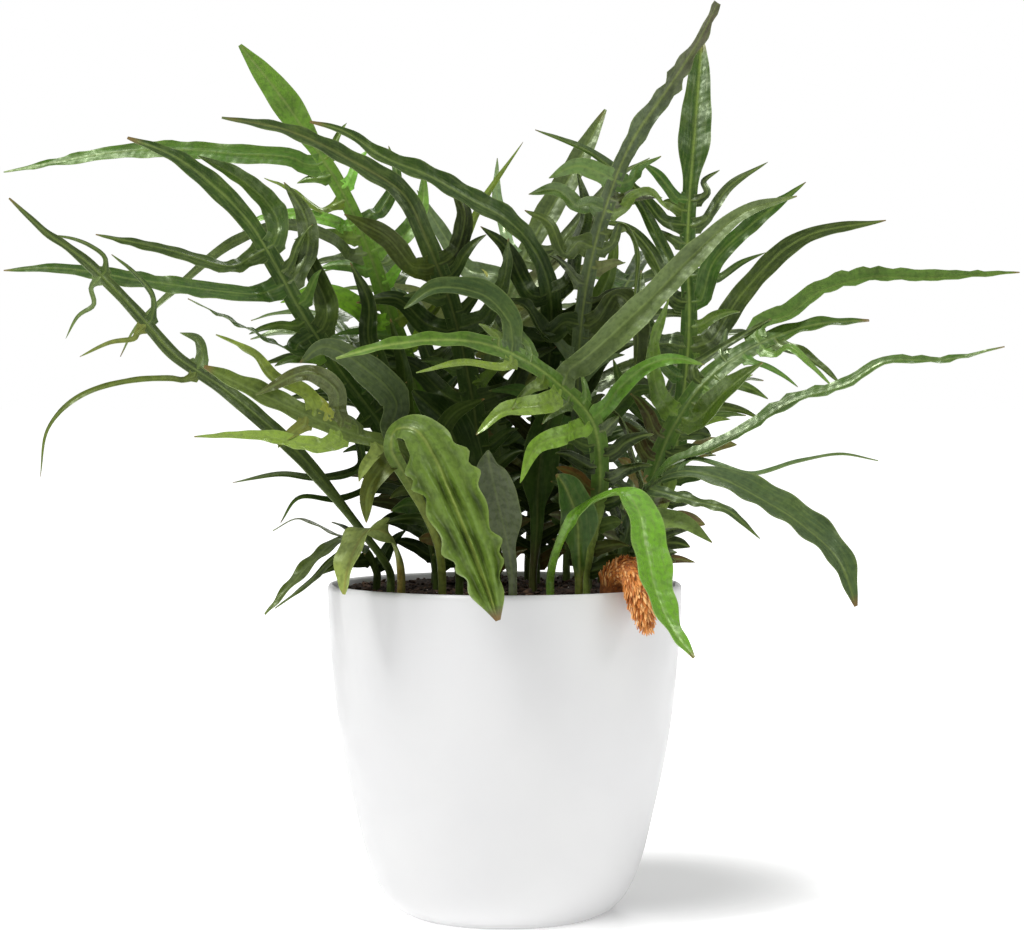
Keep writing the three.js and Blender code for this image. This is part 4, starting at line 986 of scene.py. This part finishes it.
leaf_sheen = leaf_band(painted_heart_shade, 0.0, 0.7, 0.34, 0.06)
leaf_sheen = leaf_math("MULTIPLY_ADD", leaf_math("MULTIPLY", leaf_sheen, lobe_gloss), 2.0, leaf_sheen)
leaf_tree.links.new(leaf_sheen, leaf_shader.inputs["Specular IOR Level"])
leaf_rough = leaf_band(mottle, 0.3, 0.7, 0.31, 0.46)
leaf_rough = leaf_math("SUBTRACT", leaf_rough, leaf_math("MULTIPLY", lobe_gloss, 0.1))
leaf_rough = leaf_math("ADD", leaf_rough, leaf_math("MULTIPLY", underside, 0.18))
leaf_tree.links.new(leaf_rough, leaf_shader.inputs["Roughness"])
quilting = leaf_math("ADD", leaf_math("MULTIPLY", vein_wave, 0.2), leaf_math("MULTIPLY", mottle, 0.6))
quilting = leaf_math("ADD", quilting, leaf_math("MULTIPLY", fibres, 1.2))
bump_on(leaf_tree, leaf_shader, quilting, 0.45, 0.0003)

# Each frond's own look. tint is its green, lobes that of its side lobes where it differs, rib that
# of its midrib and stalk, and rib_shown how strongly it shows. left and right give single lobes
# their own green, and faces turns one to look another way. wavy is how much the margins wave, torn
# how ragged they are, slim how narrow the lobes are and blunt how broad the tip stays. dried gives
# the shares where the brown end begins and is full. gloss makes the blade shine, pleated gives it
# ridges with painted shade between them, and a bare one has no small lobes.
DEEP = (0.009, 0.024, 0.003)
DARK = (0.02, 0.048, 0.006)
MIDDLE = (0.04, 0.09, 0.01)
LIGHT = (0.08, 0.17, 0.016)
BRIGHT = (0.14, 0.34, 0.02)
OLIVE = (0.09, 0.13, 0.02)
GREY_GREEN = (0.1, 0.14, 0.047)
YELLOW_STALK = (0.24, 0.27, 0.05)
BROWN_STALK = (0.07, 0.05, 0.02)
looks = {
    "frond_left_low": {"tint": (0.035, 0.055, 0.015), "wavy": 0.5, "bare": True, "slim": 0.62},
    "frond_left_inner": {"tint": (0.1, 0.21, 0.02), "left": {2: GREY_GREEN, 5: (0.06, 0.14, 0.016)}},
    "frond_centre_left": {"tint": (0.03, 0.055, 0.012), "rib": BROWN_STALK},
    "frond_centre_back": {"tint": GREY_GREEN},
    "frond_right_tall": {
        "tint": (0.07, 0.095, 0.05),
        "lobes": (0.035, 0.07, 0.014),
        "rib": (0.2, 0.24, 0.06),
        "wavy": 1.3,
        "torn": 0.2,
        "blunt": 0.4,
        "dried": (0.75, 1),
    },
    "frond_right_upright": {"tint": (0.024, 0.062, 0.006), "rib": (0.2, 0.28, 0.05)},
    "frond_right_reach": {
        "tint": MIDDLE,
        "left": {2: (0.09, 0.17, 0.03)},
        "faces": {("left", 2): (0.2, -0.75, 0.6)},
    },
    "frond_right_drooping": {
        "tint": (0.05, 0.085, 0.03),
        "left": {1: (0.06, 0.13, 0.02)},
        "faces": {("left", 1): (-0.1, -0.9, 0.45)},
    },
    "frond_front_arching": {
        "tint": LIGHT,
        "rib": (0.3, 0.4, 0.08),
        "right": {0: (0.1, 0.24, 0.02), 1: GREY_GREEN, 2: (0.045, 0.08, 0.025)},
    },
    "frond_front_left": {"tint": OLIVE, "right": {1: (0.07, 0.1, 0.04)}},
    "frond_front_drooping": {
        "tint": (0.11, 0.18, 0.025),
        "rib": YELLOW_STALK,
        "pleated": True,
        "torn": 0.12,
        "dried": (0.96, 0.99),
    },
    "frond_left_rim": {"tint": OLIVE},
    "frond_front_right_plain": {"tint": BRIGHT, "rib": (0.2, 0.42, 0.04), "rib_shown": 0.4, "gloss": 0.9},
    "leaf_base_front": {"tint": (0.13, 0.15, 0.09), "rib": (0.2, 0.22, 0.14)},
    "leaf_base_centre": {"tint": DEEP},
    "leaf_base_right": {"tint": (0.035, 0.1, 0.01), "rib": YELLOW_STALK},
    "leaf_base_inner": {"tint": MIDDLE, "rib": BROWN_STALK},
    "leaf_base_left": {"tint": (0.34, 0.42, 0.1), "rib": (0.36, 0.26, 0.06)},
}


# The front view is seen from VIEW_DISTANCE in front of the planter, at EYE_HEIGHT. A frond is swept
# by its full sweep at SWEEP_REACH from the foot of its stalk.
VIEW_DISTANCE = 1400
EYE_HEIGHT = 264
SWEEP_REACH = 250


def seen(point, frond):
    """A place of the plant from a point of the front view."""
    across, up, depth = point
    outward = math.hypot(across - frond["root"][0], up - SOIL_HEIGHT) / SWEEP_REACH
    away = depth + frond.get("sweep", 0) * outward**1.6
    spread = 1 + away / VIEW_DISTANCE
    return np.array([across * spread, away, EYE_HEIGHT + (up - EYE_HEIGHT) * spread])


# Straps to copy, modelled once: a long and a short lobe, a midrib with its wing, and a blade with
# ridges. Their columns lie closer together near the midrib.
LONG_LOBE = 55
LONG_ROWS = 44
SHORT_ROWS = 22
MIDRIB_ROWS = 120
COLUMNS_CROWD = 1.35


def make_strap(name, columns, rows):
    """A flat strap: across from -1 to 1, along from 0 to 1, its two faces at +1 and -1."""
    bpy.ops.object.select_all(action="DESELECT")
    bpy.ops.mesh.primitive_grid_add(x_subdivisions=columns, y_subdivisions=rows, size=2)
    strap = bpy.context.object
    strap.name = name
    bpy.ops.object.modifier_add(type="SOLIDIFY")
    strap.modifiers[0].thickness = 2
    strap.modifiers[0].offset = 0
    bpy.ops.object.modifier_apply(modifier=strap.modifiers[0].name)
    for vertex in strap.data.vertices:
        x, y, z = vertex.co
        vertex.co = (math.copysign(abs(x) ** COLUMNS_CROWD, x), (y + 1) / 2, math.copysign(1, z))
    for title, kind in (("on_blade", "FLOAT_VECTOR"), ("kind", "FLOAT_VECTOR"), ("tint", "FLOAT_COLOR")):
        strap.data.attributes.new(title, kind, "POINT")
    return strap


lobe_strap = make_strap("lobe_strap", 12, LONG_ROWS)
short_strap = make_strap("short_strap", 10, SHORT_ROWS)
midrib_strap = make_strap("midrib_strap", 12, MIDRIB_ROWS)
pleated_strap = make_strap("pleated_strap", 40, MIDRIB_ROWS)

# Across a ridged blade the ridges follow a wave of RIDGE_TURNS in angle, with painted shade in the
# valleys between them. The midrib's colour shows over about RIB_HALF to each side.
RIDGE_TURNS = 14
PAINTED_VALLEY_SHADE = 0.45
RIB_HALF = 0.7
DRIED_LEAF = (0.1, 0.09, 0.06)


def lay_strap(master, rows, tint, rib_tint):
    """A copy of a strap laid along its rows of places, directions and sizes.

    at, side and upper place each row, half is half its width, and gone how far along it lies. winged
    goes from 0, a round stalk, to 1, a thin blade, which is rib thick at the midrib and edge at its
    margins. fold lifts both margins, and the waves lift each one alone."""
    mesh = master.data.copy()
    flat = np.array([vertex.co for vertex in mesh.vertices])
    x, y, z = flat.T
    row = np.rint(y * (len(rows["at"]) - 1)).astype(int)
    half, winged, gone = rows["half"][row], rows["winged"][row], rows["gone"][row]
    side_wave = np.where(x < 0, rows["wave_left"][row], rows["wave_right"][row])
    fold = np.abs(x) * half * rows["fold"][row] + side_wave * x**2
    painted_valley_shade = np.zeros(len(x))
    if "torn_left" in rows:
        torn = np.where(x < 0, rows["torn_left"][row], rows["torn_right"][row])
        half = half * (1 + torn * np.abs(x) ** 3)
    if "pleat" in rows:
        ridges = np.cos(x * RIDGE_TURNS + 1.6 * np.sin(gone / 23) + np.sin(x * 5))
        ridges *= 0.75 + 0.25 * np.sin(gone / 4.3 + x * 3)
        fold += rows["pleat"][row] * ridges
        # Painted shade in the valleys between the ridges.
        painted_valley_shade = PAINTED_VALLEY_SHADE * rows["pleat"][row] * np.clip(-ridges, 0, 1) ** 1.5
    off_rib = x * half / rows["rib_half"][row]
    blade = rows["edge"][row] + (rows["rib"][row] - rows["edge"][row]) * np.exp(-(off_rib**2))
    stalk = rows["rib"][row] * np.sqrt(np.clip(1 - x**2, 0.02, 1))
    thick = stalk + (blade - stalk) * winged
    places = (
        rows["at"][row]
        + rows["side"][row] * (x * half)[:, None]
        + rows["upper"][row] * (fold + z * thick)[:, None]
    )
    mesh.vertices.foreach_set("co", (places * MM).ravel())
    on_blade = np.stack([x * half * MM, gone * MM, x], 1)
    mesh.attributes["on_blade"].data.foreach_set("vector", on_blade.ravel())
    kind = np.stack([y, (z < 0).astype(float), 0 * y + rows["gloss"]], 1)
    mesh.attributes["kind"].data.foreach_set("vector", kind.ravel())
    shown = rows["rib_shown"] * np.exp(-((x * half / RIB_HALF) ** 2))
    ribbed = np.maximum(1 - winged, shown)[:, None]
    colour = np.ones((len(flat), 4))
    colour[:, :3] = np.array(tint) * (1 - ribbed) + np.array(rib_tint) * ribbed
    # The painted valley shade darkens the blade's colour, though not its midrib.
    colour[:, :3] *= (1 - painted_valley_shade * (1 - ribbed[:, 0]))[:, None]
    if "dried" in rows:
        dried = rows["dried"][row][:, None]
        colour[:, :3] = colour[:, :3] * (1 - dried) + np.array(DRIED_LEAF) * dried
    mesh.attributes["tint"].data.foreach_set("color", colour.ravel())
    blade_piece = bpy.data.objects.new("blade", mesh)
    bpy.context.collection.objects.link(blade_piece)
    return blade_piece


def bend_across(line, share, side):
    """How sharply a line turns toward one side, as one over the radius of the turn."""
    low, high = np.clip(share - 0.04, 0, 1), np.clip(share + 0.04, 0, 1)
    turned = way_at(line, high) - way_at(line, low)
    return np.abs((turned * side).sum(-1)) / ((high - low) * line[1][-1]) + 1e-6


def frames_on(line, share, face):
    """Places, directions, upper sides and right-hand sides on a line."""
    along = way_at(line, share)
    upper = square_to(face + 0 * along, along)
    return place_at(line, share), along, upper, np.cross(along, upper)


def frame_on(line, share, face):
    """Place, direction, upper side and right-hand side at one share of a line."""
    return [part[0] for part in frames_on(line, np.array([share]), face)]


def total_turn(line):
    """The whole angle that a line turns through."""
    ways = way_at(line, np.linspace(0, 1, 13))
    return np.arccos(np.clip((ways[1:] * ways[:-1]).sum(-1), -1, 1)).sum()


# A lobe runs from the midrib through the wing in a few rows of its own, leaves the wing's edge
# sideways and slanted forward, and swells, waves and twists a little on its way to its tip. Where it
# bends sideways, half its width stays under a share of the radius of the bend. Its upper side turns
# from the wing's toward the frond's face, by TOWARD_FACE at each of some 3 to 10 steps.
ROWS_IN_WING = 3
LOBE_LEAVES = 5
LOBE_SLANT = 0.9
LOBE_CLEAR = 8
LOBE_TWIST = 0.3
LOBE_EDGE = 0.17
LOBE_RIB = 0.28
LOBE_RIB_HALF = 0.55
LOBE_RIB_SHOWN = 0.12
SHARE_OF_BEND = 0.7
BEND_LENGTH = 17
BEND_TURN = 0.9
TOWARD_FACE = 0.16


def from_wing(in_wing, beyond):
    """A row's values in the wing, all the same, and then those of the lobe beyond it."""
    return np.concatenate([[in_wing] * ROWS_IN_WING, beyond])


def add_lobe(start, wing_half, lobe, face, phase, tints, draw, waviness):
    """One lobe, from the midrib through the wing's edge and along its own way to its tip."""
    half, points = lobe
    centre, along, upper, side, sign, root_half, fold = start
    edge = centre + sign * wing_half * side + fold * wing_half * upper
    leaves = min(LOBE_LEAVES, 0.4 * np.linalg.norm(edge - points[0]))
    ahead = min(LOBE_SLANT, max(0, unit(points[0] - edge) @ along))
    leave = edge + sign * leaves * side + ahead * leaves * along
    clear = [point for point in points if np.linalg.norm(point - edge) > LOBE_CLEAR]
    line = smooth_line([edge, leave, *clear], 12)
    length = line[1][-1]
    long = length > LONG_LOBE
    count = (LONG_ROWS if long else SHORT_ROWS) + 1
    share = np.linspace(0, 1, count - ROWS_IN_WING)
    gone = share * length
    way = way_at(line, share)
    bends = np.clip(round(length / BEND_LENGTH + total_turn(line) / BEND_TURN - 0.8), 3, 10)
    toward_face = 1 - (1 - TOWARD_FACE) ** (bends / len(share))
    uppers = [square_to(upper, way[0])]
    for direction in way[1:]:
        uppers.append(square_to(uppers[-1] * (1 - toward_face) + face * toward_face, direction))
    uppers = np.array(uppers)
    twist = (draw.uniform(-LOBE_TWIST, LOBE_TWIST) * ease(share, 0.1, 1))[:, None]
    sides = np.cross(way, uppers) * np.cos(twist) + uppers * np.sin(twist)
    uppers = np.cross(sides, way)
    taper = taper_from(share, draw.uniform(0.15, 0.35))
    root_half = min(root_half, 1.1 * half + 0.6)
    spread = root_half + (half - root_half) * ease(gone, 0, 2.5 * half)
    flare = 1.4 * np.exp(-gone / 2)
    swell = 1 + 0.06 * np.sin(phase + gone / 6.7) + 0.03 * np.sin(2.3 * phase + gone / 2.9)
    widest = SHARE_OF_BEND / bend_across(line, share, sides)
    broad = np.minimum(spread * taper * swell, widest) + flare
    pitch = draw.uniform(1.7, 3.4)
    lift = waviness * draw.uniform(0.5, 1.7) * min(1, half / 5)
    lift = lift * ease(gone, 2, 14) * (1 - ease(share, 0.8, 1))
    lift = lift * (0.6 + 0.4 * np.sin(2 * phase + gone / 13))
    trough = draw.uniform(-0.2, 0.8)
    uneven = 1.2 * np.sin(phase + gone / 9.1)
    wing_steps = np.linspace(-1, -1 / ROWS_IN_WING, ROWS_IN_WING)[:, None]
    outward = unit(edge - centre)
    inner_upper = square_to(upper, outward)
    inner_side = np.cross(outward, inner_upper)
    rows = {
        "at": np.vstack([centre + (edge - centre) * (1 + wing_steps), place_at(line, share)]),
        "side": np.vstack([np.tile(inner_side, (ROWS_IN_WING, 1)), sides]),
        "upper": np.vstack([np.tile(inner_upper, (ROWS_IN_WING, 1)), uppers]),
        "half": np.concatenate([[root_half * 0.7, root_half, root_half + 0.9], broad]),
        "gone": np.concatenate([wing_steps[:, 0] * wing_half, gone]),
        "wave_left": from_wing(0, lift * np.sin(phase + gone / pitch + uneven)),
        "wave_right": from_wing(0, lift * np.sin(phase + 2 + gone / (pitch * 1.13) - uneven)),
        "fold": from_wing(0, trough * ease(gone, 0, 14)),
        "edge": from_wing(0.16, LOBE_EDGE + 0 * share),
        "rib": from_wing(0.5, LOBE_RIB + 0.3 * (1 - share)),
        "rib_half": from_wing(0.9, LOBE_RIB_HALF + 0.4 * (1 - share)),
        "winged": np.ones(count),
        "rib_shown": LOBE_RIB_SHOWN,
        "gloss": draw.uniform() ** 1.8,
    }
    return lay_strap(lobe_strap if long else short_strap, rows, *tints)


def nearest_share(line, point, low, high):
    """Where on a midrib a lobe leaves that starts out toward a point."""
    shares = np.linspace(low, high, 81)
    away = np.linalg.norm(place_at(line, shares) - point, axis=1)
    nearest = away.argmin()
    return shares[nearest] - 0.3 * away[nearest] / line[1][-1]


def spread_along(wanted, pitch, low, high):
    """The stands of the lobes in order, never closer than their pitch."""
    shares = [min(high, max(low, share)) for share in wanted]
    for k in range(1, len(shares)):
        shares[k] = max(shares[k], shares[k - 1] + pitch)
    shares[-1] = min(shares[-1], high)
    for k in range(len(shares) - 2, -1, -1):
        shares[k] = min(shares[k], shares[k + 1] - pitch)
    return shares


PAIRED_HALF = 4.6
LOBE_PITCH = 14


def paired_lobe(centre, along, side, sign, wing, reach):
    """A lobe of a frond whose lobes follow a rule: it slants forward and droops to its tip."""
    way = [
        centre
        + sign * (wing + reach * share * 0.72) * side
        + reach * share * 0.62 * along
        - np.array([0, 0, reach * 0.3 * share * share])
        for share in (0.35, 0.7, 1)
    ]
    return PAIRED_HALF, way, None


def stands_of(frond, line, face):
    """Places on the midrib with a lobe on one side or on both, from the stalk to the end lobe."""
    low, high = frond["lobed"]
    if "pairs" in frond:
        stands = []
        for k in range(frond["pairs"]):
            share = low + (high - low) * k / (frond["pairs"] - 1)
            centre, along, _, side = frame_on(line, share, face)
            reach = frond["reach"] * (0.62 + 0.38 * math.sin(math.pi * (k + 0.6) / frond["pairs"]))
            stands.append({
                "share": share,
                "left": paired_lobe(centre, along, side, -1, frond["base"], reach),
                "right": paired_lobe(centre, along, side, 1, frond["base"], reach * 0.94),
            })
        return stands
    placed = {"left": [], "right": []}
    for name, items in placed.items():
        for number, (half, *points) in enumerate(frond.get(name, ())):
            way = [seen(point, frond) for point in points]
            items.append((nearest_share(line, way[0], low, high), (half, way, number)))
    more, fewer = sorted(placed, key=lambda name: -len(placed[name]))
    stands = [{"share": share, more: lobe} for share, lobe in placed[more]]
    first = 0
    for k, (share, lobe) in enumerate(placed[fewer]):
        last_free = len(stands) - (len(placed[fewer]) - k)
        best = min(range(first, last_free + 1), key=lambda j: abs(stands[j]["share"] - share))
        stands[best][fewer] = lobe
        stands[best]["share"] = (stands[best]["share"] + share) / 2
        first = best + 1
    if stands:
        wanted = [stand["share"] for stand in stands]
        for stand, share in zip(stands, spread_along(wanted, LOBE_PITCH / line[1][-1], low, high)):
            stand["share"] = share
    return stands


# A stalk rises straight out of the potting mix and grows its wing on the way to the first lobe.
# Small lobes fill the spaces between the large ones, and some more stand on the lower stalk, deep
# green or brown.
STALK_RADIUS = 2
STALK_SUNK = 12
BROAD_END = 9
LOBE_ROOT = 5
SMALL_LOBE_STEP = 9
BASAL_STEP = 6
SMALL_LOBE_SPACE = 5.5
SMALL_LOBE_ROOT = 3
BASAL_BROWN = (0.06, 0.035, 0.012)
BASAL_BROWN_SHARE = 0.3
LIGHT_SHARE = 0.25
WING_EDGE = 0.22
WING_FOLD = 0.14
RIDGE_HEIGHT = 1.8
RIB_TINT = (0.09, 0.13, 0.03)
TINT_SPREAD = (-1.15, 1.05)
SIDES = (("left", -1), ("right", 1))


def lobe_tint(tint, draw):
    """A lobe's own colour: darker or lighter, and more yellow or more grey, than the frond's."""
    shade = np.array(tint) * math.exp(draw.uniform(*TINT_SPREAD))
    return shade * draw.uniform([0.85, 1, 0.5], [1.45, 1, 1.35])


def grow_frond(frond, index, look):
    """The whole frond as one piece: stalk, midrib with its wing, end lobe and side lobes."""
    draw = np.random.default_rng(100 + index)
    face = unit(np.array(frond["face"], float))
    x, y = frond["root"]
    way = [(x, y, SOIL_HEIGHT + 3), (x, y, SOIL_HEIGHT + 9)]
    line = smooth_line([*way, *(seen(point, frond) for point in frond["spine"])], 12)
    length = line[1][-1]
    stands = stands_of(frond, line, face)
    low = frond["lobed"][0]
    end_start = (stands[-1]["share"] if stands else low) + 6 / length
    tip_start = end_start + (0.5 if frond["end"] > BROAD_END else 0.3) * (1 - end_start)

    def section(share):
        """How far a share of the midrib is winged and how far in the end lobe, and its half width."""
        winged = ease(share, low * 0.35, low)
        ended = ease(share, end_start, end_start + 0.35 * (1 - end_start))
        tip = np.maximum(look.get("blunt", 0), taper_from(share, tip_start))
        narrowed = ease(share, low * 0.8, low + 0.5 * (1 - low))
        wing = frond["base"] + (frond["wing"] - frond["base"]) * narrowed
        blade = (wing + (frond["end"] - wing) * ended) * tip
        return winged, ended, STALK_RADIUS + (blade - STALK_RADIUS) * winged

    share = np.concatenate([[0], np.linspace(0, 1, MIDRIB_ROWS)])
    at, along, upper, side = frames_on(line, share, face)
    at[0, 2] = SOIL_HEIGHT - STALK_SUNK
    winged, ended, broad = section(share)
    gone = share * length
    swell = 1 + winged * (0.04 * np.sin(index + gone / 9) + 0.025 * np.sin(2 * index + gone / 3.7))
    waviness = look.get("wavy", 0.8)
    lift = waviness * winged * (0.3 + 0.7 * ended) * (1 - ease(share, 0.9, 1))
    blade_tint, rib_tint = look["tint"], look.get("rib", RIB_TINT)
    rows = {
        "at": at,
        "side": side,
        "upper": upper,
        "half": np.minimum(broad * swell, SHARE_OF_BEND / bend_across(line, share, side)),
        "gone": gone,
        "wave_left": lift * np.sin(index + gone / 3.1),
        "wave_right": lift * np.sin(index * 2.1 + gone / 2.7),
        "fold": (WING_FOLD + 0.25 * ended) * winged,
        "edge": WING_EDGE * winged + STALK_RADIUS * 0.5 * (1 - winged),
        "rib": STALK_RADIUS * (1 - winged) + (0.45 + 0.75 * (1 - share)) * winged,
        "rib_half": 0.7 + 0.9 * (1 - share),
        "winged": winged,
        "rib_shown": look.get("rib_shown", 0.6),
        "gloss": look.get("gloss", 0.1),
    }
    midrib = midrib_strap
    if look.get("pleated"):
        midrib = pleated_strap
        rows["pleat"] = RIDGE_HEIGHT * ease(share, 0.5, 0.72) * (1 - ease(share, 0.9, 1))
    if look.get("dried"):
        rows["dried"] = ease(share, *look["dried"])
    if look.get("torn"):
        for name, phase in (("torn_left", 0.4), ("torn_right", 2.2)):
            teeth = np.sin(phase + gone / 2.2 + 1.5 * np.sin(gone / 7)) + 0.8 * np.sin(phase + gone / 5.3)
            rows[name] = look["torn"] * teeth * ended
    parts = [lay_strap(midrib, rows, blade_tint, rib_tint)]

    def side_lobe(share, sign, root_half, lobe, lobe_face, phase, tint):
        """A lobe that stands at a share of the midrib."""
        start = (*frame_on(line, share, face), sign, root_half, WING_FOLD)
        wing_half = float(section(share)[2])
        tints = (tint, rib_tint)
        parts.append(add_lobe(start, wing_half, lobe, lobe_face, phase, tints, draw, waviness))

    for k, stand in enumerate(stands):
        widths = [stand[name][0] for name, _ in SIDES if name in stand]
        root_half = min(LOBE_ROOT, max(3.2, *widths))
        for name, sign in SIDES:
            if name not in stand:
                continue
            half, points, number = stand[name]
            lobe_face = look.get("faces", {}).get((name, number))
            lobe_face = face if lobe_face is None else unit(np.array(lobe_face))
            tint = look.get(name, {}).get(number, lobe_tint(look.get("lobes", blade_tint), draw))
            lobe = (half * look.get("slim", 1), points)
            phase = index * 1.7 + k * 2.3 + sign
            side_lobe(stand["share"], sign, root_half, lobe, lobe_face, phase, tint)
    if stands and not look.get("bare"):
        first, last = stands[0]["share"], stands[-1]["share"]
        basal = np.arange(9 / length, first - 5 / length, BASAL_STEP / length)
        upper_ones = np.arange(first, last + 8 / length, SMALL_LOBE_STEP / length)
        for k, share in enumerate([*basal, *upper_ones]):
            name, sign = SIDES[(k + 1) % 2]
            beside = [abs(stand["share"] - share) * length for stand in stands if name in stand]
            if min(beside, default=99) < SMALL_LOBE_SPACE:
                continue
            if share < first:
                reach, half = draw.uniform(12, 36), draw.uniform(2.6, 5)
                tint = BASAL_BROWN if draw.uniform() < BASAL_BROWN_SHARE else DEEP
            else:
                reach, half = draw.uniform(14, 38), draw.uniform(1.6, 3.2)
                tint = LIGHT if draw.uniform() < LIGHT_SHARE else blade_tint
            centre, along, _, side = frame_on(line, share, face)
            points = paired_lobe(centre, along, side, sign, float(section(share)[2]), reach)[1]
            tint = lobe_tint(tint, draw)
            side_lobe(share, sign, SMALL_LOBE_ROOT, (half, points), face, k * 1.3, tint)
    bpy.ops.object.select_all(action="DESELECT")
    for part in parts:
        part.select_set(True)
    bpy.context.view_layer.objects.active = parts[0]
    bpy.ops.object.join()
    piece = bpy.context.object
    piece.name = piece.data.name = frond["name"].replace("frond_", "") + "_blade"
    bpy.ops.object.shade_smooth_by_angle(angle=math.radians(55))
    piece.data.materials.append(leaf_finish)
    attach(piece, "root")
    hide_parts(frond["name"])


for number, frond in enumerate(fronds):
    grow_frond(frond, number, looks.get(frond["name"], {"tint": DARK}))
for strap in (lobe_strap, short_strap, midrib_strap, pleated_strap):
    bpy.data.objects.remove(strap)
